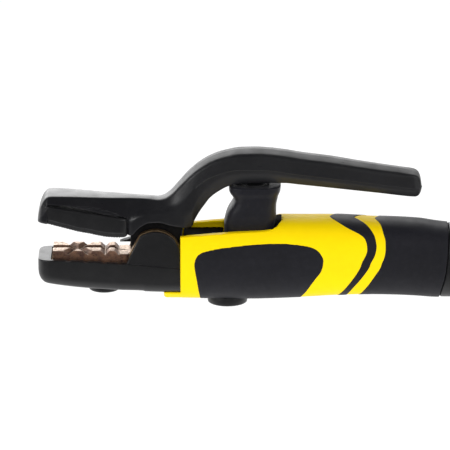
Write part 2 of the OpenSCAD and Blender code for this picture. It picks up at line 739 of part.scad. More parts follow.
body_bar();
lower_jaw_insert();
lower_jaw_screw();
lower_jaw_insulator();
lower_screw_cap();
pivot_pin();
pivot_clips();
pivot_washers();
spring_seat();
return_spring();
spring_boot();
inner_cover();
handle_shell();
saddle_grip();
stripe_band();
rear_grip_sleeve();
rear_cap();
cable_grommet();
handle_screw();
handle_screw_cap();
lever_core();
pivot_bush();
upper_jaw_insert();
upper_jaw_screw();
lever_moulding();
upper_jaw_guard();
spring_guide();
cable_clamp_screw_front();
cable_clamp_screw_rear();
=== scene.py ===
# A spring-closed hand clamp with copper jaw inserts, a yellow handle and a black lever.
# X runs along the handle: jaws (front) at -X, cable end (rear) at +X. The pivot pin lies
# along Y through the origin, +Z is up and the camera looks from -Y, the near side.
# Shapes are worked out in millimetres and turned into metres when a mesh is made.
import math
import bpy
import bmesh
import numpy as np
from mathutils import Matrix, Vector, noise as vector_noise


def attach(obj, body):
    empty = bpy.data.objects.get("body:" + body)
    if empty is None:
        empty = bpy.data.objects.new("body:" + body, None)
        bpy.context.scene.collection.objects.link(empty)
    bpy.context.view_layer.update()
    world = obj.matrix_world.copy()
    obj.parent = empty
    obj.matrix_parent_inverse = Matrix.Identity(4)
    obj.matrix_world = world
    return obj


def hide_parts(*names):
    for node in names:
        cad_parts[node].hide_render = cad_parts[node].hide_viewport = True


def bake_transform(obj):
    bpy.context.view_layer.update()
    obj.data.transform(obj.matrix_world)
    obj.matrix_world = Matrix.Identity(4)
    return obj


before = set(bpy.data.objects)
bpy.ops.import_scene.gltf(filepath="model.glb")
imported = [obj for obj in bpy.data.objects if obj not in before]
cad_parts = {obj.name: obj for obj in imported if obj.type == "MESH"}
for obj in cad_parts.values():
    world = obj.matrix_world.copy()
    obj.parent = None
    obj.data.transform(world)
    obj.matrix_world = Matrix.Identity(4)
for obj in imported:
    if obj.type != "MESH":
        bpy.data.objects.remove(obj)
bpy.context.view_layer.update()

MM = 0.001


# ---------------------------------------------------------------- curves

def curve(stations):
    """A smooth curve without overshoot through (x, value) stations."""
    xs, values = np.array(stations, float).T
    gap = np.diff(xs)
    slope = np.diff(values) / gap
    tangent = np.zeros_like(xs)
    for i in range(1, len(xs) - 1):
        if slope[i - 1] * slope[i] > 0:
            before, after = 2 * gap[i] + gap[i - 1], gap[i] + 2 * gap[i - 1]
            tangent[i] = (before + after) / (before / slope[i - 1] + after / slope[i])
    tangent[0], tangent[-1] = slope[0], slope[-1]

    def value_at(x):
        x = np.clip(np.asarray(x, float), xs[0], xs[-1])
        i = np.clip(np.searchsorted(xs, x) - 1, 0, len(gap) - 1)
        s = (x - xs[i]) / gap[i]
        return ((2 * s ** 3 - 3 * s ** 2 + 1) * values[i]
                + (s ** 3 - 2 * s ** 2 + s) * gap[i] * tangent[i]
                + (-2 * s ** 3 + 3 * s ** 2) * values[i + 1]
                + (s ** 3 - s ** 2) * gap[i] * tangent[i + 1])
    return value_at


def signed_power(value, power):
    return np.sign(value) * np.abs(value) ** power


def smoothstep(start, end, value):
    t = np.clip((value - start) / (end - start), 0, 1)
    return t * t * (3 - 2 * t)


def unit(vectors):
    return vectors / np.maximum(np.linalg.norm(vectors, axis=1), 1e-9)[:, None]


def rounded(points, radii, steps=5, closed=False):
    """A polyline with its corners rounded; every corner gives steps + 1 points."""
    points = [np.array(p, float) for p in points]
    count = len(points)
    u = np.linspace(0, 1, steps + 1)[:, None]
    out = []
    for i, corner in enumerate(points):
        if not closed and i in (0, count - 1):
            out.append(corner[None])
            continue
        back, ahead = points[i - 1] - corner, points[(i + 1) % count] - corner
        back_len, ahead_len = np.linalg.norm(back), np.linalg.norm(ahead)
        # a corner may use half of an edge it shares, but all of an open end's edge
        back_share = 0.49 if (closed or i > 1) else 0.98
        ahead_share = 0.49 if (closed or i < count - 2) else 0.98
        start = corner + back * (min(radii[i], back_len * back_share) / max(back_len, 1e-9))
        end = corner + ahead * (min(radii[i], ahead_len * ahead_share) / max(ahead_len, 1e-9))
        out.append(start * (1 - u) ** 2 + corner * 2 * u * (1 - u) + end * u ** 2)
    return np.concatenate(out)


def stations(*pieces):
    """Sorted X stations from several lists."""
    return np.unique(np.round(np.concatenate(pieces), 3))


def both_sides(x, half):
    """A closed ring at X from half a section given as (half width, height) points."""
    near = np.stack([np.full(len(half), x), -half[:, 0], half[:, 1]], 1)
    return np.concatenate([near, near[::-1][1:-1] * np.array([1, -1, 1])])


# ---------------------------------------------------------------- meshes

class Shape:
    """Collects grids of points in millimetres, then makes one mesh object."""

    def __init__(self):
        self.points, self.faces = [], []

    def count(self):
        return sum(len(points) for points in self.points)

    def grid(self, points, loop_u=False, loop_v=False):
        points = np.asarray(points, float)
        n, m = points.shape[:2]
        first = self.count()
        self.points.append(points.reshape(-1, 3))
        for i in range(n if loop_u else n - 1):
            a, b = first + i * m, first + ((i + 1) % n) * m
            for j in range(m if loop_v else m - 1):
                k = (j + 1) % m
                self.faces.append((a + j, a + k, b + k, b + j))
        return self

    def cap(self, ring, rings=3):
        """Closes a ring with bands that shrink to its centre."""
        centre = ring.mean(0)
        bands = [centre + (ring - centre) * (1 - t) for t in np.linspace(0, 0.98, rings)]
        self.grid(np.stack(bands), loop_v=True)
        tip, m = self.count(), len(ring)
        self.points.append(centre[None])
        self.faces += [(tip - m + j, tip - m + (j + 1) % m, tip) for j in range(m)]
        return self

    def mirror_y(self):
        """Adds the far half of a near half."""
        first = self.count()
        self.points += [p * np.array([1, -1, 1.0]) for p in list(self.points)]
        self.faces += [tuple(first + i for i in reversed(f)) for f in list(self.faces)]
        return self

    def obj(self, name, merge=0.004, sharp=32):
        mesh = bpy.data.meshes.new(name)
        mesh.from_pydata((np.concatenate(self.points) * MM).tolist(), [], self.faces)
        bm = bmesh.new()
        bm.from_mesh(mesh)
        if merge:
            bmesh.ops.remove_doubles(bm, verts=bm.verts, dist=merge * MM)
            bmesh.ops.dissolve_degenerate(bm, dist=merge * 0.5 * MM, edges=bm.edges)
        bmesh.ops.recalc_face_normals(bm, faces=bm.faces)
        bm.to_mesh(mesh)
        bm.free()
        ob = bpy.data.objects.new(name, mesh)
        bpy.context.scene.collection.objects.link(ob)
        finish_mesh(ob, sharp)
        return ob


def finish_mesh(ob, sharp=32):
    """Smooth shading, broken at edges sharper than the angle in degrees."""
    ob.data.validate()
    ob.data.shade_smooth()
    ob.data.set_sharp_from_angle(angle=math.radians(sharp))
    ob.data.update()


def remove(ob):
    mesh = ob.data
    bpy.data.objects.remove(ob)
    bpy.data.meshes.remove(mesh)


def apply_modifiers(ob, sharp=32):
    depsgraph = bpy.context.evaluated_depsgraph_get()
    mesh = bpy.data.meshes.new_from_object(ob.evaluated_get(depsgraph))
    ob.modifiers.clear()
    old = ob.data
    ob.data = mesh
    bpy.data.meshes.remove(old)
    finish_mesh(ob, sharp)


def cut(ob, tools, operation="DIFFERENCE", sharp=32):
    """Exact boolean with each tool object, which is then removed."""
    for tool in tools:
        modifier = ob.modifiers.new("cut", "BOOLEAN")
        modifier.operation = operation
        modifier.solver = "EXACT"
        modifier.object = tool
        bpy.context.view_layer.update()
        apply_modifiers(ob, sharp)
        remove(tool)
    return ob


def join(ob, other):
    """Moves the other object's mesh into ob."""
    bm = bmesh.new()
    bm.from_mesh(ob.data)
    bm.from_mesh(other.data)
    bm.to_mesh(ob.data)
    bm.free()
    remove(other)
    finish_mesh(ob)


def vertex_vectors(mesh, attribute):
    flat = np.empty(len(mesh.vertices) * 3)
    mesh.vertices.foreach_get(attribute, flat)
    return flat.reshape(-1, 3)


def volume(ob):
    """Enclosed volume in cubic millimetres."""
    points = vertex_vectors(ob.data, "co") / MM
    ob.data.calc_loop_triangles()
    corners = np.empty(len(ob.data.loop_triangles) * 3, dtype=np.int32)
    ob.data.loop_triangles.foreach_get("vertices", corners)
    t = points[corners.reshape(-1, 3)]
    return float(np.einsum("ij,ij->i", t[:, 0], np.cross(t[:, 1], t[:, 2])).sum() / 6)


def loft(name, rings, cap_rings=3, **options):
    """A solid through closed rings, its ends closed with fans."""
    shape = Shape().grid(rings, loop_v=True)
    return shape.cap(rings[0], cap_rings).cap(rings[-1], cap_rings).obj(name, **options)


def flat_ended(name, rings):
    """A solid through closed rings, each end closed with one face."""
    shape = Shape().grid(rings, loop_v=True)
    total, m = shape.count(), len(rings[0])
    shape.faces.append(tuple(range(m - 1, -1, -1)))
    shape.faces.append(tuple(range(total - m, total)))
    return shape.obj(name, merge=0)


def prism(name, outline, y0, y1, edge=0.0):
    """An (X, Z) outline given thickness along Y, its rims rounded by edge."""
    outline = np.array(outline, float)
    ahead = np.roll(outline, -1, 0)
    tangent = unit(unit(ahead - outline) + unit(outline - np.roll(outline, 1, 0)))
    outward = np.stack([tangent[:, 1], -tangent[:, 0]], 1)
    area = 0.5 * np.sum(outline[:, 0] * ahead[:, 1] - ahead[:, 0] * outline[:, 1])
    outward *= 1 if area > 0 else -1

    def ring(inset, y):
        p = outline - outward * inset
        return np.stack([p[:, 0], np.full(len(p), y), p[:, 1]], 1)

    if edge > 0:
        turn = [(edge * (1 - math.sin(u)), edge * (1 - math.cos(u)))
                for u in np.linspace(0, math.pi / 2, 5)]
        rings = [ring(inset, y0 + rise) for inset, rise in turn]
        rings += [ring(inset, y1 - rise) for inset, rise in reversed(turn)]
    else:
        rings = [ring(0, y0), ring(0, y1)]
    return flat_ended(name, np.stack(rings))


def revolve(profile, centre, axis="z", sides=96):
    """Rings from (radius, height) pairs about an axis through centre."""
    profile = np.array(profile, float)
    angle = np.linspace(0, 2 * math.pi, sides, endpoint=False)[None]
    radius = profile[:, 0][:, None]
    u, v = radius * np.cos(angle), radius * np.sin(angle)
    h = profile[:, 1][:, None] * np.ones_like(angle)
    order = {"x": (h, u, v), "y": (u, h, v), "z": (u, v, h)}[axis]
    return np.stack(order, -1) + np.array(centre, float)


def box(low, high):
    """A plain box, used as a tool or a starting block."""
    x0, y0, z0 = low
    x1, y1, z1 = high
    corners = ((x0, y0), (x1, y0), (x1, y1), (x0, y1))
    return flat_ended("box", np.array([[(x, y, z) for x, y in corners] for z in (z0, z1)]))


def rod(radius, axis, start, end, centre=(0, 0, 0), sides=72):
    """A plain rod, used only as a tool."""
    return flat_ended("rod", revolve([[radius, start], [radius, end]], centre, axis, sides))


# ---------------------------------------------------------------- materials

class Nodes:
    """Fills one node tree. Any input may be a value or another node's output."""

    def __init__(self, tree):
        self.tree = tree
        tree.nodes.clear()

    def add(self, kind, inputs=None, **settings):
        node = self.tree.nodes.new("ShaderNode" + kind)
        for name, value in settings.items():
            setattr(node, name, value)
        for key, value in (inputs or {}).items():
            socket = node.inputs[key]
            if isinstance(value, bpy.types.NodeSocket):
                self.tree.links.new(value, socket)
            elif socket.type == "RGBA":
                socket.default_value = (*value, 1)
            else:
                socket.default_value = value
        return node

    def split(self, vector):
        return self.add("SeparateXYZ", {0: vector}).outputs

    def math(self, operation, a, b):
        return self.add("Math", {0: a, 1: b}, operation=operation).outputs[0]

    def remap(self, value, over, to=(0.0, 1.0), shape="LINEAR"):
        inputs = {"From Min": over[0], "From Max": over[1],
                  "To Min": to[0], "To Max": to[1], "Value": value}
        return self.add("MapRange", inputs, interpolation_type=shape).outputs[0]

    def ease(self, value, over, to=(0.0, 1.0)):
        return self.remap(value, over, to, shape="SMOOTHSTEP")

    def mix(self, kind, factor, a, b):
        first, output = {"FLOAT": (2, 0), "VECTOR": (4, 1), "RGBA": (6, 2)}[kind]
        inputs = {0: factor, first: a, first + 1: b}
        return self.add("Mix", inputs, data_type=kind).outputs[output]


def new_material(name):
    material = bpy.data.materials.new(name)
    material.use_nodes = True
    return material


class Finish(Nodes):
    """One finish built in layers that change its colour, roughness and bump height."""

    def __init__(self, tree, base, dark, light, rough, grain, mottling):
        super().__init__(tree)
        self.position = self.add("TexCoord").outputs["Object"]
        broad = self.noise(scale=mottling, detail=4.0)
        fine = self.noise(scale=mottling * 9)
        self.colour = self.mix("RGBA", self.remap(broad, over=(0.35, 0.65)), base, dark)
        self.tint(self.scaled(self.remap(fine, over=(0.45, 0.75)), 0.35), light)
        uneven = self.noise(scale=mottling * 3.1, detail=4.0)
        self.rough = self.math("ADD", self.remap(uneven, over=(0.3, 0.7), to=rough), 0.0)
        self.height = self.noise(scale=grain, detail=2.0, roughness=0.6)

    def noise(self, scale, detail=3.0, roughness=0.55, vector=None):
        inputs = {"Scale": scale, "Detail": detail, "Roughness": roughness,
                  "Vector": vector or self.position}
        return self.add("TexNoise", inputs).outputs["Fac"]

    def scaled(self, value, amount):
        return self.math("MULTIPLY", value, amount)

    def tint(self, mask, colour):
        self.colour = self.mix("RGBA", mask, self.colour, colour)

    def roughen(self, amount):
        self.rough = self.math("ADD", self.rough, amount)

    def dent(self, mask, amount):
        self.height = self.math("SUBTRACT", self.height, self.scaled(mask, amount))

    def bevel(self, radius):
        return self.add("Bevel", {"Radius": radius * MM}, samples=4).outputs[0]

    def rougher_along_x(self, over, amount):
        """Roughness that rises by amount between two X places."""
        over = [x * MM for x in over]
        self.roughen(self.remap(self.split(self.position)[0], over, to=(0.0, amount)))

    def painted_lit_tops(self, colour, facing, patches):
        """Painted highlight: patchy lighter colour on faces that look up, standing in for light
        falling on the tops; facing is the range of normal Z.
        """
        up = self.split(self.add("NewGeometry").outputs["Normal"])[2]
        patchy = self.noise(scale=patches, detail=4.0)
        self.tint(self.math("MULTIPLY", self.remap(up, over=facing),
                            self.remap(patchy, over=(0.25, 0.6), to=(0.35, 1.0))), colour)

    def pits(self, colour, scale, depth):
        """Scattered round pits with wobbly outlines."""
        cells = self.add("TexVoronoi", {"Scale": scale}, feature="F1")
        wobble = self.add("TexNoise", {"Scale": scale * 0.7, "Vector": self.position})
        place = self.mix("VECTOR", 0.0012, self.position, wobble.outputs["Color"])
        self.tree.links.new(place, cells.inputs["Vector"])
        scattered = self.noise(scale=scale * 0.4)
        pit = self.math("MULTIPLY", self.remap(cells.outputs["Distance"], over=(0.42, 0.12)),
                        self.remap(scattered, over=(0.42, 0.6)))
        self.tint(self.scaled(pit, 0.75), colour)
        self.dent(pit, depth)
        self.roughen(self.scaled(pit, 0.15))

    def painted_hollow_shade(self, colour, reach, open_range):
        """Painted shade: dark colour in hollows where shade falls, found by occlusion within
        reach.
        """
        occlusion = self.add("AmbientOcclusion", {"Distance": reach * MM}, samples=6)
        mask = self.remap(occlusion.outputs["AO"], over=open_range, to=(1.0, 0.0))
        self.tint(mask, colour)

    def scratches(self, depth):
        """Long thin scratches in scattered patches."""
        stretched = self.add("Mapping", {"Scale": (0.12, 1.0, 1.0), "Rotation": (0.2, 0.35, 0.5),
                                         "Vector": self.position}).outputs[0]
        streaks = self.noise(scale=900.0, detail=2.0, roughness=0.6, vector=stretched)
        patches = self.noise(scale=70.0, detail=2.0)
        line = self.math("MULTIPLY", self.remap(streaks, over=(0.66, 0.72)),
                         self.remap(patches, over=(0.5, 0.62)))
        self.roughen(self.scaled(line, 0.2))
        self.dent(line, depth)

    def brushing(self, scale):
        """Fine parallel lines; scale is the noise frequency along each axis."""
        stretched = self.add("Mapping", {"Scale": scale, "Vector": self.position}).outputs[0]
        lines = self.noise(scale=1.0, roughness=0.7, vector=stretched)
        self.height = self.math("ADD", self.height, self.scaled(lines, 0.6))
        self.roughen(self.remap(lines, over=(0.3, 0.7), to=(-0.04, 0.08)))

    def worn_edges(self, colour, amount):
        """Edges rubbed bright, where a bevelled normal leaves the true one."""
        bevelled = self.bevel(0.7)
        normal = self.add("NewGeometry").outputs["Normal"]
        match = self.add("VectorMath", {0: bevelled, 1: normal}, operation="DOT_PRODUCT")
        edge = self.remap(match.outputs["Value"], over=(0.985, 0.86))
        broken = self.remap(self.noise(scale=380.0, detail=4.0), over=(0.35, 0.62))
        mask = self.scaled(self.math("MULTIPLY", edge, broken), amount)
        self.tint(mask, colour)
        self.roughen(self.scaled(mask, 0.1))


def surface(name, base, dark, light, rough, grain, grain_depth, wear, wear_amount, metallic=0.0,
            spec=0.5, bevel=0.0, mottling=45.0, scratch=0.0, sheen=0.0, rough_x=None, top=None,
            pits=None, painted_hollow_shade=None, brush=None):
    """One procedural finish.

    base, dark and light are mottled together at the mottling frequency; rough is the
    range of roughness; grain is the bump frequency and grain_depth its height in mm;
    wear and wear_amount colour the edges; bevel rounds shading over that many mm.
    """
    material = new_material(name)
    finish = Finish(material.node_tree, base, dark, light, rough, grain, mottling)
    if rough_x:
        finish.rougher_along_x(**rough_x)
    bump = {"Strength": 1.0, "Distance": grain_depth * MM}
    if bevel:
        bump["Normal"] = finish.bevel(bevel)
    if top:
        finish.painted_lit_tops(**top)
    if pits:
        finish.pits(**pits)
    if painted_hollow_shade:
        finish.painted_hollow_shade(**painted_hollow_shade)
    if scratch:
        finish.scratches(scratch)
    if brush:
        finish.brushing(brush)
    finish.worn_edges(wear, wear_amount)
    bump["Height"] = finish.height
    shader = finish.add("BsdfPrincipled", {
        "Base Color": finish.colour, "Roughness": finish.rough,
        "Normal": finish.add("Bump", bump).outputs[0], "Metallic": metallic,
        "Specular IOR Level": spec, "Coat Roughness": 0.25, "Sheen Weight": sheen})
    finish.add("OutputMaterial", {0: shader.outputs[0]})
    return material


MATERIALS = {
    "jaw": surface(
        "jaw_plastic", base=(0.0098, 0.0098, 0.0108), dark=(0.0075, 0.0075, 0.0085),
        light=(0.016, 0.016, 0.017), rough=(0.32, 0.41), grain=3800, grain_depth=0.012, spec=0.62,
        wear=(0.05, 0.05, 0.052), wear_amount=0.45, bevel=0.25, scratch=0.5),
    "lever": surface(
        "lever_plastic", base=(0.0080, 0.0080, 0.0098), dark=(0.0062, 0.0062, 0.0078),
        light=(0.0145, 0.0145, 0.0165), rough=(0.27, 0.36), grain=3600, grain_depth=0.012,
        spec=0.6, wear=(0.05, 0.05, 0.054), wear_amount=0.4, bevel=0.25, scratch=0.5,
        rough_x=dict(over=(-8.0, 25.0), amount=0.17)),
    "cap": surface(
        "cap_plastic", base=(0.0105, 0.0105, 0.0115), dark=(0.008, 0.008, 0.009),
        light=(0.017, 0.017, 0.018), rough=(0.36, 0.46), grain=3400, grain_depth=0.012,
        wear=(0.05, 0.05, 0.052), wear_amount=0.35, bevel=0.2, scratch=0.4),
    "yellow": surface(
        "yellow_plastic", base=(0.93, 0.675, 0.0), dark=(0.905, 0.640, 0.0),
        light=(0.95, 0.70, 0.0), rough=(0.42, 0.52), grain=3000, grain_depth=0.010, spec=0.10,
        wear=(0.98, 0.80, 0.02), wear_amount=0.35, bevel=0.2, scratch=0.35, mottling=30.0),
    "soft": surface(
        "soft_grip", base=(0.0085, 0.0085, 0.0130), dark=(0.0068, 0.0068, 0.0105),
        light=(0.0155, 0.0155, 0.021), rough=(0.56, 0.66), grain=2600, grain_depth=0.022,
        spec=0.36, wear=(0.045, 0.045, 0.05), wear_amount=0.3, bevel=0.2, sheen=0.02),
    "rubber": surface(
        "boot_rubber", base=(0.0080, 0.0080, 0.0125), dark=(0.0062, 0.0062, 0.0100),
        light=(0.016, 0.016, 0.021), rough=(0.40, 0.52), grain=1900, grain_depth=0.03,
        spec=0.42, wear=(0.04, 0.04, 0.045), wear_amount=0.3, sheen=0.05, mottling=60.0),
    # painted shade: a dead black, barely reflecting finish for faces that stand in for deep
    # shadow
    "shade_black": surface(
        "painted_shade_black", base=(0.004, 0.004, 0.004), dark=(0.003, 0.003, 0.003),
        light=(0.007, 0.007, 0.007), rough=(0.80, 0.92), grain=2600, grain_depth=0.03, spec=0.04,
        wear=(0.02, 0.02, 0.02), wear_amount=0.2),
    "copper": surface(
        "cast_copper", base=(0.50, 0.27, 0.17), dark=(0.20, 0.115, 0.095),
        light=(0.72, 0.46, 0.32), rough=(0.34, 0.56), grain=1500, grain_depth=0.14, metallic=0.8,
        wear=(0.95, 0.78, 0.62), wear_amount=0.8, mottling=260.0,
        # painted highlight: a lighter tan on the upward tooth tops, where light falls
        top=dict(colour=(0.74, 0.59, 0.47), facing=(0.64, 0.96), patches=420.0),
        pits=dict(colour=(0.025, 0.018, 0.018), scale=1250.0, depth=1.45),
        # painted shade: near-black in the grooves and hollows, found by occlusion
        painted_hollow_shade=dict(colour=(0.022, 0.013, 0.010), reach=3.2, open_range=(0.44, 0.93))),
    "brass": surface(
        "cast_brass", base=(0.42, 0.27, 0.14), dark=(0.30, 0.19, 0.10), light=(0.60, 0.42, 0.25),
        rough=(0.36, 0.52), grain=1300, grain_depth=0.06, metallic=0.9, wear=(0.85, 0.66, 0.42),
        wear_amount=0.7, bevel=0.25, mottling=120.0,
        pits=dict(colour=(0.12, 0.07, 0.04), scale=520.0, depth=0.8)),
    "steel": surface(
        "zinc_steel", base=(0.46, 0.46, 0.48), dark=(0.36, 0.36, 0.38), light=(0.62, 0.62, 0.63),
        rough=(0.24, 0.38), grain=2200, grain_depth=0.012, metallic=1.0, wear=(0.8, 0.8, 0.8),
        wear_amount=0.5, bevel=0.15, mottling=150.0, brush=(200.0, 200.0, 2400.0)),
    "dark": surface(
        "blackened_iron", base=(0.022, 0.022, 0.024), dark=(0.015, 0.015, 0.016),
        light=(0.045, 0.045, 0.047), rough=(0.38, 0.55), grain=1700, grain_depth=0.05,
        metallic=0.75, wear=(0.38, 0.36, 0.34), wear_amount=0.6, bevel=0.25, mottling=110.0,
        pits=dict(colour=(0.015, 0.014, 0.014), scale=480.0, depth=0.6)),
}


def dress(ob, finish, node, body=None):
    """Gives an object its finish, the body it rides on and the CAD node it stands for."""
    ob.data.materials.clear()
    ob.data.materials.append(MATERIALS[finish])
    if body:
        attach(ob, body)
    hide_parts(node)
    return ob


# ---------------------------------------------------------------- handle form

POWER = 2.6             # superellipse power of the handle section
WALL = 2.8              # shell thickness
INLAY = 1.4             # how deep the grips are let into the shell
PROUD = 0.16            # how far the grips stand out of it
SHELL_FRONT, SHELL_REAR = 12.5, 141.0
FRONT_WALL_REAR = 15.5  # the thick front wall ends here
# the front wall's bore: a rounded box about the height BORE_Z
BORE_HALF_WIDTH, BORE_HALF_HEIGHT, BORE_Z = 13.5, 11.8, -8
FRONT_MID_Z, FRONT_HALF_HEIGHT = -3.3, 20.7
FRONT_GAP, MOUTH_GAP = 11.3, 10.6  # least inside half width above Z 0: front wall, behind it

# (x, value) along the handle: half width, half height, height of the middle
half_width = curve([
    [4, 15], [12, 15.8], [30, 17.4], [45, 18], [75, 18], [110, 17.6], [140, 17.2], [160, 16.6]])
half_height = curve([
    [4, 20.7], [12, 20.7], [47, 20.8], [72, 20.3], [92, 19.7], [112, 19], [132, 18.9],
    [146, 18.2], [160, 17.6]])
mid_height = curve([
    [4, -3.3], [12, -3.3], [47, -3.3], [72, -3], [92, -2.5], [112, -2.8], [122, -3.1],
    [132, -3.7], [140, -4.6], [160, -5.6]])
# (x, height) of the edge of the open top
mouth_height = curve([
    [0, 9.1], [12.5, 10.35], [26.3, 11.55], [40.7, 12.65], [53, 13.25], [57, 13.75],
    [59.9, 14.8], [62.1, 16.3], [63.05, 17.1], [63.5, 18.2], [64, 20]])


def on_handle(x, angle, inset):
    """Handle surface point at X and angle (90 top, 180 near, 270 bottom), let in by inset."""
    x, angle, inset = np.broadcast_arrays(*(np.asarray(v, float) for v in (x, angle, inset)))
    turn = np.radians(angle)
    y = (half_width(x) - inset) * signed_power(np.cos(turn), 2 / POWER)
    z = mid_height(x) + (half_height(x) - inset) * signed_power(np.sin(turn), 2 / POWER)
    return np.stack([x, y, z], -1)


def angle_at(x, z, inset):
    """Near-side angle where the surface let in by inset has height z."""
    level = np.clip((z - mid_height(x)) / (half_height(x) - inset), -1, 1)
    return 180 - np.degrees(np.arcsin(signed_power(level, POWER / 2)))


def fold(angle):
    """Brings far-side angles above 270 onto the near side."""
    return np.where(angle > 270, 540 - angle, angle)


def line_round(table, blur=2.2):
    """A line round the handle from (angle, x) pairs, the same both sides, smoothed."""
    x_at = curve(table)
    first = table[0][0]
    angle = np.linspace(90 - 30, 270 + 30, 2401)
    near = np.where(angle < 90, 180 - angle, fold(angle))
    x = x_at(np.maximum(near, first))
    if first == 90:
        # carries the slope on past the top, so the blur keeps a point there
        x = np.where(angle < 90, 2 * x_at(90.0) - x, x)
    offset = np.arange(-120, 121) * (angle[1] - angle[0])
    weight = np.exp(-0.5 * (offset / blur) ** 2)
    x = np.convolve(x, weight / weight.sum(), "same")
    return lambda a: np.interp(np.clip(fold(a), first, 270), angle, x)


# (angle, x) of the front and rear edges of each grip
stripe_front = line_round([
    [90, 87], [98, 88.5], [112, 92], [126, 96.7], [135, 101.3], [143, 104.0], [153, 105.1],
    [163, 105.4], [171, 104.6], [181, 102.2], [203, 97.2], [223, 93.8], [239, 91.8], [270, 90]])
stripe_rear = line_round([
    [90, 99.5], [104, 103.5], [123, 107.2], [142, 109.5], [158, 110.2], [172, 109.2],
    [181, 106.8], [199, 102.2], [219, 98.2], [237, 96.2], [270, 94.5]])
sleeve_front = line_round([
    [90, 109.6], [108, 112.0], [131, 113.4], [150, 114.5], [162, 114.5], [173, 113.9],
    [181, 112.2], [191, 109.6], [212, 105.7], [230, 103.2], [270, 100.3]])
cap_front = line_round([[90, 146.3], [163, 145.6], [224, 142.2], [270, 141.6]])
SADDLE_TOP = 153
saddle_front = line_round([
    [SADDLE_TOP, 58], [154, 51], [157, 42], [161, 32], [164, 27], [167, 23.2], [171, 21],
    [176, 19.8], [180, 19.4], [184, 19.7], [201, 20.8], [240, 22.2], [270, 22.6]], blur=0.5)
saddle_rear = line_round([
    [SADDLE_TOP, 64], [154, 68], [156, 72.5], [158, 76.2], [162, 79.8], [169, 82.4],
    [177, 83.8], [184, 83], [196, 79.8], [208, 77.3], [222, 75.2], [239, 73.2],
    [270, 72.0]], blur=0.7)


def inlay_depth(x, angle):
    """How far the shell's outside is let in under the grips."""
    in_saddle = np.minimum(np.minimum(x - saddle_front(angle), saddle_rear(angle) - x),
                           (fold(angle) - SADDLE_TOP) * 0.33)
    in_stripe = np.minimum(x - stripe_front(angle), stripe_rear(angle) - x)
    in_sleeve = x - sleeve_front(angle)
    inside = np.maximum.reduce([in_saddle, in_stripe, in_sleeve])
    return INLAY * smoothstep(0.55, 1.15, inside)


# ---------------------------------------------------------------- handle shell

ROUND_STEPS = 150
AROUND = np.linspace(0, 1, ROUND_STEPS + 1)  # from the top, or the mouth edge, to the bottom
HALF_TURN = 90 + 180 * AROUND


def mouth_edge():
    """The near edge of the open top, from the front to where it closes on the crown.

    Returns its points, unit tangents and the index where the inner wall closes.
    """
    x = SHELL_FRONT + (63.6 - SHELL_FRONT) * (1 - (1 - np.linspace(0, 1, 6000)) ** 2)
    z = mouth_height(x)
    level = (z - mid_height(x)) / half_height(x)
    below = level < 1
    x, z, level = x[below], z[below], level[below]
    y = half_width(x) * (1 - level ** POWER) ** (1 / POWER)
    end = x[-1]
    edge = np.stack([np.append(x, end + 1e-4), np.append(-y, 0),
                     np.append(z, mid_height(end) + half_height(end))], 1)
    steps = np.linalg.norm(np.diff(edge, axis=0), axis=1)
    length = np.concatenate([[0], np.cumsum(steps)])
    close_x = float(x[np.argmin(np.abs(z - (mid_height(x) + half_height(x) - WALL)))])
    wall_end, past_wall, close = (float(np.interp(v, edge[:, 0], length))
                                  for v in (FRONT_WALL_REAR, 15.6, close_x))
    along = np.unique(np.concatenate([
        np.linspace(0, wall_end, 8), [past_wall], np.linspace(past_wall, close, 95)[1:],
        np.linspace(close, length[-1], 30)[1:]]))
    edge = np.stack([np.interp(along, length, edge[:, i]) for i in range(3)], 1)
    tangent = np.gradient(edge, axis=0)
    tangent[-1] = [0, 1, 0]
    return edge, unit(tangent), int(np.argmin(np.abs(along - close)))


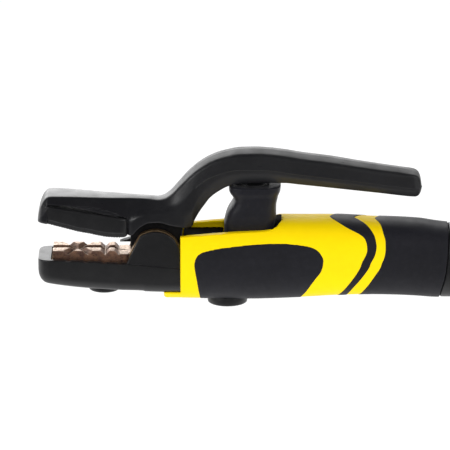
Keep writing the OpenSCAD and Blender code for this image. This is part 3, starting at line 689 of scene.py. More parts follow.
def mouth_rim(edge, tangent, closing):
    """Columns of points over the rounded rim, outside to inside, and the outside angles."""
    radius = 0.55
    reach = 0.05  # half the X distance used to measure slopes
    x, z = edge[:, 0], edge[:, 2]
    angle = angle_at(x, z, 0)
    angle[-1] = 90
    normal = unit(np.cross(
        on_handle(x + reach, angle, 0) - on_handle(x - reach, angle, 0),
        on_handle(x, angle + 0.2, 0) - on_handle(x, np.maximum(angle - 0.2, 90), 0)))
    inward = (normal * (edge - np.array([0, 0, -3.0]))).sum(1) < 0
    normal *= np.where(inward, -1, 1)[:, None]
    away = np.cross(normal, tangent)
    away *= np.where((away[:, 2] > 0.2) | (away[:, 0] < -0.2), -1, 1)[:, None]
    # the outer line lies one radius away, brought back onto the handle surface
    outer = edge + away * radius
    outer_x = outer[:, 0]
    outer_angle = np.where(np.abs(outer[:, 1]) < 1e-3, 90.0, angle_at(outer_x, outer[:, 2], 0))
    # near the closing point the height is nearly flat, so the angle comes from Y there
    spread = np.clip(np.abs(outer[:, 1]) / half_width(outer_x), 0, 1)
    from_y = 180 - np.degrees(np.arccos(spread ** (POWER / 2)))
    outer_angle = np.where(outer_angle < 125, from_y, outer_angle)
    outer_angle[-1] = 90
    outer = on_handle(outer_x, outer_angle, 0)
    # the cut face runs across the edge, in the plane of Y and the mouth's slope
    slope = (mouth_height(x + reach) - mouth_height(x - reach)) / (2 * reach)
    down_mouth = np.stack([np.ones_like(slope), 0 * slope, slope], 1)
    down_mouth /= np.sqrt(1 + slope ** 2)[:, None]
    across = unit((tangent * down_mouth).sum(1)[:, None] * np.array([0, 1.0, 0])
                  - tangent[:, 1][:, None] * down_mouth)
    level = np.clip((z - mid_height(x)) / (half_height(x) - WALL), 0, 1)
    inner_y = -(half_width(x) - WALL) * (1 - level ** POWER) ** (1 / POWER)
    inner_y = np.where(x <= FRONT_WALL_REAR + 0.05, -FRONT_GAP, np.minimum(inner_y, -MOUTH_GAP))
    inner_y[closing:] = 0
    inner = np.stack([x, inner_y, z], 1)
    face_width = np.linalg.norm(inner - edge, axis=1)
    rounded_end = edge + across * np.minimum(radius, 0.4 * face_width + 0.02)[:, None]
    rounded_end[:, 1] = np.minimum(rounded_end[:, 1], 0)
    rounded_end[-1] = edge[-1] + np.array([-0.02, 0, -0.3])
    inner[-1] = rounded_end[-1]
    columns = [outer]
    for u in (0.2, 0.4, 0.6, 0.8, 1.0):
        columns.append(outer * (1 - u) ** 2 + edge * 2 * u * (1 - u) + rounded_end * u ** 2)
    for u in (0.35, 0.7, 1.0):
        columns.append(rounded_end + (inner - rounded_end) * u)
    return np.stack(columns, 1), outer_angle


def outer_skin(edge, rim_line, rim_angle):
    """The shell's outside: rows below the mouth edge, then full rows behind it."""
    # the first tenth of each row eases from the rim's X to the edge's
    easing = np.clip(1 - AROUND * ROUND_STEPS / 10, 0, 1) ** 2
    xs = [e + (r - e) * easing for e, r in zip(edge[:, 0], rim_line[:, 0])]
    angles = [a + (270 - a) * AROUND for a in rim_angle]
    behind = np.concatenate([np.arange(rim_line[-1, 0] + 0.5, 84.0, 0.6),
                             np.arange(84.0, 118.0, 0.34), np.arange(118.0, 141.01, 1.0),
                             [SHELL_REAR]])
    for x in np.unique(behind):
        xs.append(np.full(ROUND_STEPS + 1, x))
        angles.append(HALF_TURN)
    xs, angles = np.array(xs), np.array(angles)
    front_rounding = 0.6 * np.clip(1 - (xs - SHELL_FRONT) / 0.6, 0, 1) ** 2
    skin = on_handle(xs, angles, inlay_depth(xs, angles) + front_rounding)
    skin[:len(edge), 0] = rim_line
    return skin


def bore_row(x, angle):
    """One row of the bore through the thick front wall."""
    outside_z = on_handle(x, angle, 0)[:, 2]
    mouth_z = mouth_height(x)
    z = np.where(
        outside_z > FRONT_MID_Z,
        BORE_Z + (outside_z - FRONT_MID_Z) / (mouth_z - FRONT_MID_Z) * (mouth_z - BORE_Z),
        BORE_Z - (FRONT_MID_Z - outside_z) / FRONT_HALF_HEIGHT * BORE_HALF_HEIGHT)
    level = np.abs((z - BORE_Z) / BORE_HALF_HEIGHT)
    y = BORE_HALF_WIDTH * np.clip(1 - level ** 6, 0, 1) ** (1 / 6)
    y = np.where(z > 0, np.maximum(y, FRONT_GAP), y)
    # the bottom is spaced by angle instead of height
    turn = np.radians(angle)
    low_y = BORE_HALF_WIDTH * np.abs(np.cos(turn)) ** (1 / 3)
    low_z = BORE_Z - BORE_HALF_HEIGHT * np.abs(np.sin(turn)) ** (1 / 3)
    low = smoothstep(205, 225, angle)
    y = y * (1 - low) + low_y * low
    z = z * (1 - low) + low_z * low
    return np.stack([np.full_like(y, x), -y, z], -1)


def inner_skin(edge, rim_line, rim_angle, closing):
    """The shell's inside: the front bore, the walls below the mouth, then full rows."""
    rows = []
    wall_end = int(np.argmin(np.abs(edge[:, 0] - FRONT_WALL_REAR)))
    for k in range(closing + 1):
        x = edge[k, 0]
        if k <= wall_end:
            row = bore_row(x, rim_angle[k] + (270 - rim_angle[k]) * AROUND)
        else:
            start = angle_at(x, edge[k, 2], WALL) if k < closing else 90.0
            row = on_handle(x, start + (270 - start) * AROUND, WALL)
            if k < closing:
                row[:, 1] = np.where(row[:, 2] > 0, np.minimum(row[:, 1], -MOUTH_GAP), row[:, 1])
        row[0] = rim_line[k]
        rows.append(row)
    behind = np.arange(edge[closing, 0] + 1.2, SHELL_REAR, 2.0)
    rows += [on_handle(x, HALF_TURN, WALL) for x in np.append(behind, SHELL_REAR)]
    return np.stack(rows)


def shell_lip():
    """The lip in front of the shell, under the lower jaw."""
    half = 11.4
    angle = np.linspace(226.5, 313.5, 61)
    rings = []
    # x and inset of each ring
    for x, inset in ((4.2, 1.1), (4.35, 0.75), (4.7, 0.4), (5.3, 0.16), (6.0, 0.08),
                     (9.0, 0.06), (12.0, 0.06), (13.4, 0.06)):
        under = on_handle(SHELL_FRONT, angle, inset) + np.array([x - SHELL_FRONT, 0, 0])
        width = half if x > 5 else half - 0.6 * (5 - x)
        z = -19.5 - (0.3 if x < 4.3 else 0.1 if x < 4.6 else 0.0)
        y = np.linspace(width, -width, 41)
        rise = 0.62 * smoothstep(7.6, half, np.abs(y))
        rings.append(np.concatenate([under, np.stack([np.full(41, x), y, z + rise], 1)]))
    return loft("lip", np.stack(rings))


def handle_shell():
    edge, tangent, closing = mouth_edge()
    rim, rim_angle = mouth_rim(edge, tangent, closing)
    outer = outer_skin(edge, rim[:, 0], rim_angle)
    inner = inner_skin(edge, rim[:, -1], rim_angle, closing)
    shape = Shape().grid(rim).grid(outer).grid(np.stack([outer[0], inner[0]]))
    shape.grid(inner).grid(np.stack([outer[-1], inner[-1]]))
    ob = shape.mirror_y().obj("handle_yellow", merge=0.003)
    join(ob, shell_lip())
    return ob


def shade_mouth(shell):
    """Painted shade: blackens the shell's inner faces round the closed end of the mouth, standing
    in for the dark depth inside the opening.
    """
    shell.data.materials.append(MATERIALS["shade_black"])
    for face in shell.data.polygons:
        x, y, z = face.center / MM
        if 55.5 < x < 66 and z > 6:
            across = abs(y) / float(half_width(x))
            up = abs(z - float(mid_height(x))) / float(half_height(x))
            level = (across ** POWER + up ** POWER) ** (1 / POWER)
            if level < 1 - 0.30 / 18 * (1 + 2.5 * max(0.0, 58.5 - x) ** 2):
                face.material_index = 1


# ---------------------------------------------------------------- grips and rear cap

def band(name, front, rear, middle_steps):
    """A closed band round the handle between two lines, its top edges rounded."""
    radius = 0.35
    angle = np.linspace(90, 450, 361)[:-1]
    x0, x1 = front(angle), rear(angle)
    width = x1 - x0
    turn = [(radius * (1 - math.cos(u)), -PROUD + radius * (1 - math.sin(u)))
            for u in np.linspace(0, math.pi / 2, 5)]
    stops = [(x0, INLAY)]
    stops += [(x0 + offset, inset) for offset, inset in turn]
    stops += [(x0 + radius + (width - 2 * radius) * (i / middle_steps), -PROUD)
              for i in range(1, middle_steps)]
    stops += [(x1 - offset, inset) for offset, inset in reversed(turn)]
    stops += [(x1, INLAY)]
    stops += [(x0 + width * i / 4, INLAY) for i in (3, 2, 1)]
    rows = [on_handle(x, angle, inset) for x, inset in stops]
    return Shape().grid(np.stack(rows), loop_u=True, loop_v=True).obj(name)


def distance_to_loop(points, loop):
    """Distance from each point to a closed polyline, worked in blocks to save memory."""
    ends = np.roll(loop, -1, axis=0)
    distance = np.full(len(points), 1e9)
    for i in range(0, len(loop), 400):
        start = loop[i:i + 400]
        along = ends[i:i + 400] - start
        squared = np.maximum((along ** 2).sum(1), 1e-12)
        for j in range(0, len(points), 4000):
            offset = points[j:j + 4000][:, None] - start[None]
            t = np.clip((offset * along[None]).sum(2) / squared[None], 0, 1)
            gap = np.sqrt(((offset - t[..., None] * along[None]) ** 2).sum(2)).min(1)
            distance[j:j + 4000] = np.minimum(distance[j:j + 4000], gap)
    return distance


def saddle():
    """The black grip panel: both sides and under the belly, one piece."""
    radius = 0.4
    rows, columns = 190, 110
    side = np.linspace(-1, 1, rows)
    # rows bunch up at the narrow tops
    half_span = 270 - SADDLE_TOP - 1e-6
    angle = 270 + np.sign(side) * half_span * (1 - (1 - np.abs(side)) ** 1.8)
    across = 0.5 - 0.5 * np.cos(np.linspace(0, math.pi, columns))
    angle = angle[:, None] + 0 * across[None]
    x0, x1 = saddle_front(angle), saddle_rear(angle)
    x = x0 + (x1 - x0) * across[None]
    flush = on_handle(x, angle, 0)
    border = np.concatenate([flush[:, 0], flush[-1], flush[::-1, -1], flush[0, ::-1]])
    distance = distance_to_loop(flush.reshape(-1, 3), border).reshape(rows, columns)
    reach = np.clip(distance / radius, 0, 1)
    top = on_handle(x, angle, -PROUD + radius * (1 - np.sqrt(1 - (1 - reach) ** 2)))
    low = on_handle(x, angle, INLAY - 0.06)
    shape = Shape().grid(top).grid(low)
    for place in (0, -1, (slice(None), 0), (slice(None), -1)):
        shape.grid(np.stack([top[place], low[place]]))
    return shape.obj("saddle_panel")


CABLE_Z = -4


def rear_cap():
    angle = np.linspace(90, 450, 241)[:-1]
    turn = np.radians(angle)
    # front edge, as (distance behind the cap line, inset)
    rows = [on_handle(cap_front(angle) + offset, angle, inset) for offset, inset in (
        (0.35, WALL), (0.35, 0.9), (0.4, 0.6), (0.55, 0.38), (0.8, 0.16), (1.15, 0.03),
        (1.6, 0.0))]
    # rounded rear, as (x, inset)
    rows += [on_handle(x, angle, inset) for x, inset in (
        (149.5, 0.0), (152, 0.0), (154, 0.06), (156, 0.4), (157.3, 0.85), (158.4, 1.4),
        (159.2, 2.1), (159.7, 2.8), (159.95, 3.5), (160, 4.4))]
    # cable hole, as (x, radius)
    for x, radius in ((160, 10.2), (160, 9.0), (159.8, 8.5), (159.3, 8.3), (156.7, 8.3)):
        rows.append(np.stack([np.full_like(turn, x), radius * np.cos(turn),
                              CABLE_Z + radius * np.sin(turn)], -1))
    # inside and the collar that enters the shell, as (x, inset)
    rows += [on_handle(x, angle, inset) for x, inset in (
        (156.4, 4.6), (146, 4.6), (135, 4.6), (135, WALL + 0.1))]
    return Shape().grid(np.stack(rows), loop_u=True, loop_v=True).obj("rear_end_cap")


def grommet():
    # (radius, x)
    profile = [
        (6.2, 155.2), (9.6, 155.2), (9.6, 156.3), (8.25, 156.45), (8.2, 157), (8.2, 159.6),
        (8.3, 160.05), (9.3, 160.15), (9.6, 160.5), (9.5, 161.3), (9.1, 162), (8.4, 162.6),
        (7.4, 162.95), (6.8, 163), (6.35, 162.8), (6.2, 162.4), (6.05, 160.5), (6.2, 158.5)]
    shape = Shape().grid(revolve(profile, (0, 0, CABLE_Z), "x"), loop_u=True, loop_v=True)
    return shape.obj("cable_grommet_ring", merge=0.001, sharp=45)


# ---------------------------------------------------------------- lever

# (x, height) and (x, half width) of the four corner lines of the lever section, top down
top_z = curve([
    [-58.5, 19], [-58, 21.6], [-57.25, 24.2], [-56.25, 26.6], [-55.25, 28.2], [-54.25, 29.2],
    [-53, 29.75], [-51.5, 29.9], [-25, 28.6], [-3, 27.5], [1, 27.1], [4, 27.6], [7, 29.3],
    [12, 34.4], [17, 39.7], [22, 43.9], [27, 47], [32, 49.1], [37, 50.4], [42, 51.3],
    [50, 51.5], [57, 51.1], [65, 50.1], [72, 48.9], [87, 46.9], [102, 44.4], [122, 41.5],
    [128.5, 40.7], [130.6, 39.8], [131.8, 38.3], [132.4, 36.3], [132.6, 34.9]])
top_width = curve([
    [-58.5, 6], [-58, 7.1], [-57.25, 7.8], [-55.25, 8.2], [-53, 8.3], [-51.5, 8.3], [-25, 6],
    [-3, 3.9], [4, 4.6], [7, 5.4], [12, 6.8], [17, 7.9], [22, 8.3], [87, 8.3], [102, 7.9],
    [122, 7.3], [128.5, 6.9], [131.2, 6.1], [132.2, 5.3], [132.6, 4.4]])
seam_z = curve([
    [-58.5, 18], [-56, 21], [-53.8, 25.5], [-53.6, 26.9], [-13.9, 20.15], [-13.75, 20.2],
    [-11, 20.9], [-9, 21.9], [-6.5, 22.9], [-3, 23.6], [3, 24.2], [8, 25.5], [14, 28.5],
    [20, 35], [27, 40.3], [32, 42.3], [42, 44.5], [52, 44.5], [72, 42], [87, 40.1],
    [102, 38.2], [122, 35.3], [131, 34.4], [132.6, 34.3]])
seam_width = curve([
    [-58.5, 8.7], [-58.2, 9.7], [-57.5, 10.9], [-56, 11.9], [-53.8, 12.3], [-53.6, 11.2],
    [-25, 11.1], [-16, 10.7], [-13.9, 10.5], [-13.75, 10.4], [-11, 10.0], [-9, 9.7],
    [-6.5, 9.4], [-3, 9.1], [3, 8.9], [8, 9.1], [14, 9.5], [20, 9.7], [52, 9.8], [102, 9.2],
    [122, 8.5], [128.5, 8.2], [131.2, 7.5], [132.2, 6.7], [132.6, 5.6]])
skirt_z = curve([
    [-58.5, 17.6], [-53.8, 18.5], [-53.6, 26], [-13.9, 19.3], [-13.75, 17], [-12.6, 17.4],
    [-11, 18.6], [-9, 20.0], [-6.5, 21.1], [-3, 21.8], [3, 22.3], [8, 22.5], [14, 22],
    [18, 23], [22, 30.5], [27, 36], [32, 39.4], [42, 41.8], [52, 42], [72, 39.6], [102, 36],
    [122, 33.2], [131, 32.5], [132.6, 33.4]])
skirt_width = curve([
    [-58.5, 8.7], [-58.2, 9.8], [-57.5, 11], [-56, 12.1], [-53.8, 12.5], [-53.6, 10.9],
    [-13.9, 10.6], [-13.75, 10.3], [-12.8, 11.0], [-11.5, 11.5], [-9, 11.8], [-6.5, 11.9],
    [3, 11.9], [8, 11.7], [14, 11.2], [18, 10.2], [22, 9.5], [52, 9.5], [102, 9], [122, 8.3],
    [128.5, 8], [131.2, 7.3], [132.2, 6.5], [132.6, 5.4]])
foot_z = curve([
    [-58.5, 17.2], [-56, 16.9], [-53.8, 16.6], [-53.6, 25.9], [-13.9, 19.15], [-13.75, 10.6],
    [-12.6, 10.3], [-11.2, 10.9], [-9.5, 13], [-6.75, 15.3], [-3, 17], [2, 17.2], [7, 15.9],
    [12, 14.8], [16, 13.9], [17.2, 13.9], [18.2, 14.3], [19.8, 17.8], [22, 21.6], [25, 25.9],
    [27, 28.6], [32, 32.5], [37, 35], [42, 35.9], [52, 36.3], [64, 36.4], [72, 35.6],
    [92, 33.4], [112, 31.1], [122, 29.8], [127, 29.25], [129.6, 29.1], [131, 29.6],
    [132, 30.9], [132.5, 32.2], [132.6, 33.0]])
foot_width = curve([
    [-58.5, 8], [-58.2, 9.1], [-57.5, 10.4], [-56, 11.6], [-53.8, 12], [-53.6, 10.8],
    [-13.9, 10.5], [-13.75, 10.1], [-12.8, 10.9], [-11.5, 11.5], [-9, 11.9], [-6.5, 12],
    [8, 12], [14, 11], [17.2, 9], [22, 7.2], [52, 7], [102, 6.7], [122, 6.2], [128.5, 6],
    [131.2, 5.4], [132.2, 4.7], [132.6, 3.9]])
LEVER_CORNERS = ((top_width, top_z), (seam_width, seam_z), (skirt_width, skirt_z),
                 (foot_width, foot_z))
CORE_HALF = 5.98  # half width of the slots cut for the lever core


def lever_ring(x):
    """The lever's section at X."""
    top, seam, skirt, foot = ((float(width(x)), float(z(x))) for width, z in LEVER_CORNERS)
    crown = 0.25
    # the arm's back is domed between its two ends
    dome = float(smoothstep(2, 16, x)) * (1 - float(smoothstep(120, 131, x)))
    lift = 0.95 * dome
    top = (top[0] - 0.1 * dome, top[1] - 0.05 * dome)
    corners = [(0, top[1] + lift + crown),
               (top[0] * 0.55, top[1] + lift * 0.66 + crown * 0.7), top, seam]
    radii = [0, 1.5 + 3 * dome, 1.0 + 0.9 * dome, 0.5]
    if x > 20:
        # a fine parting ridge along the arm
        ridge = ((0.10, 0.15), (0.10, 0.4), (-0.02, 0.55))
        corners += [(seam[0] + out, seam[1] - down) for out, down in ridge]
        radii += [0.08, 0.08, 0.1]
    else:
        corners += [(seam[0] + (skirt[0] - seam[0]) * t, seam[1] + (skirt[1] - seam[1]) * t)
                    for t in (0.05, 0.1, 0.15)]
        radii += [0.1] * 3
    corners += [skirt, foot, (0, foot[1])]
    radii += [0.6 if x < -13.5 else 1.4, 1.1, 0]
    return both_sides(x, rounded(corners, radii))


def lever_moulding():
    xs = stations(
        -58.5 + np.array([0, 0.12, 0.3, 0.55, 0.9, 1.3, 1.8, 2.4, 3.0, 3.6, 4.2, 4.6, 4.7]),
        [-53.72, -53.66, -53.6, -53.4], np.arange(-53, -14.2, 0.8),
        [-14.1, -13.9, -13.85, -13.8, -13.75, -13.6, -13.3, -13.0, -12.7, -12.4],
        np.arange(-12.2, 30, 0.35), np.arange(30, 126, 0.8), np.arange(126, 131, 0.35),
        [131.2, 131.5, 131.8, 132.05, 132.25, 132.42, 132.53, 132.6])
    ob = loft("lever_body", np.stack([lever_ring(x) for x in xs]), merge=0.002)
    slot = [(-12.4, -3), (6, -3), (13.1, 6.9), (14.1, 16.05), (5, 22.1), (-8, 21.6),
            (-12.4, 19.9)]
    cut(ob, [prism("slot", slot, -CORE_HALF, CORE_HALF)])
    # a small round nub on the rear end, as (radius, x)
    nub = [(0.02, 133.05), (0.35, 133.0), (0.6, 132.85), (0.75, 132.5), (0.8, 131.5),
           (0.8, 130.5)]
    join(ob, loft("nub", revolve(nub, (0, 0, 32.9), "x", 24), cap_rings=2))
    return ob


# (x, half width) and (x, underside height) of the upper jaw guard
guard_width = curve([
    [-55.4, 11.2], [-54.4, 11.9], [-53.5, 12.2], [-53.0, 12.4], [-17.5, 12.4], [-16, 12.15],
    [-14.9, 11.6], [-14.2, 10.9], [-13.8, 10.2], [-13.5, 9.2]])
guard_bottom = curve([
    [-55.4, 17.3], [-54.4, 16.98], [-53.5, 16.72], [-49, 15.5], [-43, 13.9], [-38, 12.6],
    [-33, 11.7], [-28, 10.6], [-23, 9.8], [-18, 9.6], [-15.5, 9.75], [-14.2, 10.3],
    [-13.5, 11.2]])
SERRATION_PITCH = 1.3
SERRATION_DEPTH = 0.30


def guard_ring(x):
    """The guard's section at X, its underside serrated."""
    width, bottom = float(guard_width(x)), float(guard_bottom(x))
    top = 25.85 - 0.17 * (x + 53.6)
    if -53.4 < x < -16:
        phase = (x + 53.5) / SERRATION_PITCH % 1
        bottom += SERRATION_DEPTH * (abs(phase - 0.5) * 2) ** 1.5
    step = 0.45 * smoothstep(-13.6, -16.5, x)
    corners = [(0, top), (width, top), (width, bottom + 2.5), (width - step, bottom + 2.25),
               (width - step - 0.25, bottom), (0, bottom)]
    return both_sides(x, rounded(corners, [0, 1.0, 0.25, 0.2, 0.45, 0], 4))


def guard():
    xs = stations(
        [-55.4, -55.2, -54.9, -54.6, -54.3, -54, -53.8, -53.6, -53.4, -53.25],
        np.arange(-53, -17, 0.1625), np.arange(-17, -13.9, 0.2),
        [-13.85, -13.75, -13.65, -13.55, -13.5])
    ob = loft("upper_jaw_guard_plate", np.stack([guard_ring(x) for x in xs]),
              merge=0.002, sharp=40)
    pocket = [(-50.4, 5), (-13, 5), (-13, 12.3), (-20, 12.4), (-50.4, 18.5)]
    core = [(-50.6, 18.25), (-20, 12.2), (-14, 10.9), (-12.3, 8.9), (-12.3, 22), (-20, 21.9),
            (-50.6, 27.4)]
    return cut(ob, [prism("pocket", pocket, -6.1, 6.1),
                    prism("core", core, -CORE_HALF, CORE_HALF)], sharp=40)


# ---------------------------------------------------------------- lower jaw

PLUG_GAP = 0.15                        # between a screw plug and its recess
PLUG_HEIGHT = 5.3
JAW_SCREW_X, JAW_PLUG_RADIUS = -25.75, 7.7
HANDLE_SCREW_X, HANDLE_PLUG_RADIUS = 36, 9.95
TRAY_HALF_WIDTH = 13.3

# (x, share of the full width), (x, rim height) and (x, bottom height) of the tray
tray_taper = curve([
    [-58.5, 0.62], [-58.3, 0.68], [-58, 0.745], [-57, 0.865], [-55, 0.955], [-52.5, 1],
    [16, 1]])
tray_rim = curve([
    [-58.5, -2.5], [-58.2, -2.1], [-57.5, -1.9], [-55, -1.85], [-14, -3.7], [12.5, -5.9],
    [16, -6]])
tray_bottom = curve([
    [-58.5, -9.5], [-58.3, -10.6], [-58, -11.5], [-57, -13], [-55.5, -14.2], [-54, -14.7],
    [-18, -18.3], [-6, -18.75], [-5.2, -19.05], [11, -19.4], [16, -19.4]])


def tray_ring(x):
    width, rim, bottom = TRAY_HALF_WIDTH * float(tray_taper(x)), tray_rim(x), tray_bottom(x)
    corners = [(0, rim), (width, rim), (width, bottom), (0, bottom)]
    return both_sides(x, rounded(corners, [0, 0.7, 5.4, 0], 9))


def tray_with_ears(ear_radius, ear_face):
    """The lower jaw tray; its round pivot ears reach out to Y = ear_face on both sides."""
    xs = stations([-58.5, -58.42, -58.3, -58.15, -58, -57.75, -57.4], np.arange(-57, -50, 0.4),
                  np.arange(-50, 16.01, 1.0), [-5.9, -5.7, -5.5, -5.3, -5.15])
    ob = loft("lower_jaw_tray", np.stack([tray_ring(x) for x in xs]), merge=0.002)
    arc = [(ear_radius * math.cos(u), ear_radius * math.sin(u))
           for u in np.radians(np.linspace(0, 124.0, 64))]
    brow = rounded([(-18.6, -12), (-14.3, -3.7), (-9.5, 6.4), (-7.39, 10.35)], [0, 3, 5, 0], 6)
    outline = np.array(arc + brow.tolist()[::-1] + [(-17.0, -15.0), (12.72, -15.0)])
    apart = np.linalg.norm(np.diff(outline, axis=0), axis=1) > 0.05
    outline = outline[np.append(True, apart)]
    spans = (sorted((side * 10.75, side * ear_face)) for side in (-1, 1))
    cut(ob, [prism("ear", outline, y0, y1, edge=0.55) for y0, y1 in spans], "UNION")
    trough = box((-52.1, -10.8, -11.08), (-12.1, 10.8, 8.9))
    pivot_room = box((-13.1, -10.68, -15.48), (17.9, 10.68, 24.5))
    pin_hole = rod(5.7, "y", -11.9, 11.9)
    screw = (JAW_SCREW_X, 0, 0)
    screw_holes = [rod(JAW_PLUG_RADIUS + PLUG_GAP, "z", -30, -15.3, screw),
                   rod(5, "z", -17, -9, screw)]
    notches = [rod(3.4, "y", -20, 20, (x, 0, float(tray_rim(x)) + 2.95), 48)
               for x in (-43.2, -34.3, -25.3, -17.6)]
    return cut(ob, [trough, pivot_room, pin_hole] + screw_holes + notches)


def tray():
    """A boolean now and then loses the whole solid; a hair's change in the ear cures it."""
    for ear_radius, ear_face in ((12.72, 12.75), (12.7, 12.74), (12.66, 12.75), (12.6, 12.76),
                                 (12.5, 12.75), (12.4, 12.75), (12.4, 13.2)):
        ob = tray_with_ears(ear_radius, ear_face)
        if volume(ob) > 5000:
            return ob
        remove(ob)
    raise RuntimeError("tray")


INSERT_LOW = (-51.25, -8.2, -4.55)
INSERT_TOP = 1.75
INSERT_REAR = -12.25
GROOVE_DEPTH = 2.2


def groove(x, degrees, length):
    """A square bar on its corner: cuts a V groove into the insert's top, turned about Z."""
    d = GROOVE_DEPTH
    bar = np.array([[(end, y, z) for y, z in ((-d, 0), (0, -d), (d, 0), (0, d))]
                    for end in (-length / 2, length / 2)])
    turn = math.radians(degrees)
    rotation = np.array([[math.cos(turn), -math.sin(turn), 0],
                         [math.sin(turn), math.cos(turn), 0], [0, 0, 1]])
    return flat_ended("groove", bar @ rotation.T + np.array([x, 0, INSERT_TOP]))


def roughen_casting(ob):
    """Cast unevenness: a ripple and shallow pits, less on level faces, none underneath."""
    points, normals = vertex_vectors(ob.data, "co"), vertex_vectors(ob.data, "normal")
    ripple = np.array([vector_noise.fractal(Vector(p * 620), 1.0, 2.1, 4) for p in points])
    pit = np.array([vector_noise.noise(Vector(p * 900 + 7)) for p in points])
    amount = ripple * 0.10 - 0.22 * np.clip(pit - 0.25, 0, 1)
    amount *= 1 - 0.55 * (np.abs(normals[:, 2]) > 0.7)
    amount[points[:, 2] < -4.4 * MM] = 0
    # points already on or outside the insert's block may only move inward
    low, high = np.array(INSERT_LOW) * MM, np.array([INSERT_REAR, 8.2, INSERT_TOP]) * MM
    inside = np.all((points > low) & (points < high), axis=1)
    amount = np.where(inside, amount, np.minimum(amount, 0))
    points = points + normals * amount[:, None] * MM
    ob.data.vertices.foreach_set("co", points.ravel())
    ob.data.update()


def copper_insert():
    """The grooved lower insert: cut, remeshed finely and worn."""
    ob = box(INSERT_LOW, (-18.25, 8.2, INSERT_TOP))
    ob.name = ob.data.name = "insert"
    cut(ob, [box((-18.3, -8.2, -4.55), (-13.1, 8.2, 0.13)),
             box((-13.2, -6.7, -4.55), (INSERT_REAR, 6.7, 0.13))], "UNION")
    # x, direction in degrees, length
    cut(ob, [groove(*bar) for bar in ((-35, 0, 40), (-38.7, 58, 34), (-38.7, 122, 34),
                                      (-25.1, 90, 30), (-18.3, 90, 30))])
    remesh = ob.modifiers.new("remesh", "REMESH")
    remesh.mode = "VOXEL"
    remesh.voxel_size = 0.2 * MM
    remesh.adaptivity = 0.0
    soften = ob.modifiers.new("soften", "SMOOTH")
    soften.factor = 0.5
    soften.iterations = 5
    apply_modifiers(ob, 180)
    roughen_casting(ob)
    return ob


# ---------------------------------------------------------------- boot and spring

SPRING_X = 48.5
# (z, x) of the boot's front and rear, and (z, half width)
boot_front = curve([
    [-5.2, 35.4], [4, 34.9], [10, 34.4], [14.4, 34.3], [18, 35], [21.7, 36.3], [24.8, 38.2],
    [26.9, 39.2], [28.5, 38.6], [30.5, 37.3], [31.6, 36.9], [32.6, 36.8], [34.4, 36.8],
    [34.6, 37]])
boot_rear = curve([
    [-5.2, 59], [8, 59.4], [14.4, 59.8], [18, 60.3], [21.7, 60.3], [24.8, 60.4], [26.9, 60.8],
    [28.5, 61.2], [30.5, 61.9], [32.6, 62.4], [34.4, 62.6], [34.6, 62.4]])
boot_width = curve([[-5.2, 10.1], [14.4, 10.4], [21.7, 10.8], [26.9, 10.75], [30.5, 10.9],
                    [34.6, 11.0]])
BOOT_FOOT = -5.2
BOOT_ANGLES = np.radians(-np.arange(0, 360, 3))


def boot_ring(z, inset):
    front, rear, width = float(boot_front(z)), float(boot_rear(z)), float(boot_width(z))
    x = ((front + rear) / 2
         + ((rear - front) / 2 - inset) * signed_power(np.cos(BOOT_ANGLES), 2 / 3.4))
    y = (width - inset) * signed_power(np.sin(BOOT_ANGLES), 2 / 3.4)
    return np.stack([x, y, np.full(len(x), z)], 1)


def round_ring(x, radius_x, radius_y, z):
    return np.stack([x + radius_x * np.cos(BOOT_ANGLES), radius_y * np.sin(BOOT_ANGLES),
                     np.full(len(BOOT_ANGLES), z)], 1)


def boot():
    """The boot round the spring: outside going up, over the top, then down the inside."""
    rings = []
    for z in np.concatenate([np.linspace(BOOT_FOOT, 34.0, 70), [34.2, 34.4, 34.52, 34.6]]):
        # a soft swell and a soft hollow under the top, whose edge is rounded in
        inset = -0.12 * math.exp(-((z - 31.9) / 1.2) ** 2)
        inset += 0.14 * math.exp(-((z - 29.6) / 1.3) ** 2)
        inset += 0.35 * smoothstep(34.2, 34.6, z)
        rings.append(boot_ring(z, float(inset)))
    rim = rings[-1]
    middle_x = 49.6
    centre = np.array([middle_x, 0, 34.6])
    rings += [centre + (rim - centre) * share + np.array([0, 0, 0.02])
              for share in (0.9, 0.75, 0.6)]
    # a low dome on top, then the ceiling inside, as (radius, z)
    rings += [round_ring(50.5, r * 1.15, r, z) for r, z in (
        (5.6, 34.66), (5.2, 34.9), (4.4, 35.35), (3.2, 35.7), (1.6, 35.88), (0.3, 35.92))]
    rings += [round_ring(middle_x, r, r, 33.75) for r in (0.3, 3.0, 7.5)]
    rings += [boot_ring(z, 1.6) for z in np.linspace(33.6, BOOT_FOOT, 30)]
    shape = Shape().grid(np.stack(rings), loop_u=True, loop_v=True)
    return shape.obj("rubber_boot", merge=0.001, sharp=75)


def spring():
    """A coil with one closed turn at each end."""
    bottom, top, wire, turns, coil_radius = -4.5, 32.6, 2.0, 8, 7.0
    closed_pitch = wire + 0.1
    turn = np.linspace(0, 1, turns * 40 + 1) * turns
    z = np.interp(turn, [0, 1, turns - 1, turns],
                  [bottom, bottom + closed_pitch, top - closed_pitch, top])[:, None]
    angle = (-2 * math.pi * turn)[:, None]
    section = np.linspace(0, 2 * math.pi, 16, endpoint=False)[None]
    radius = coil_radius + wire / 2 * np.cos(section)
    rings = np.stack([SPRING_X + radius * np.cos(angle), radius * np.sin(angle),
                      z + wire / 2 * np.sin(section)], -1)
    return loft("return_coil", rings, cap_rings=2, merge=0.0005, sharp=50)


# ---------------------------------------------------------------- small parts

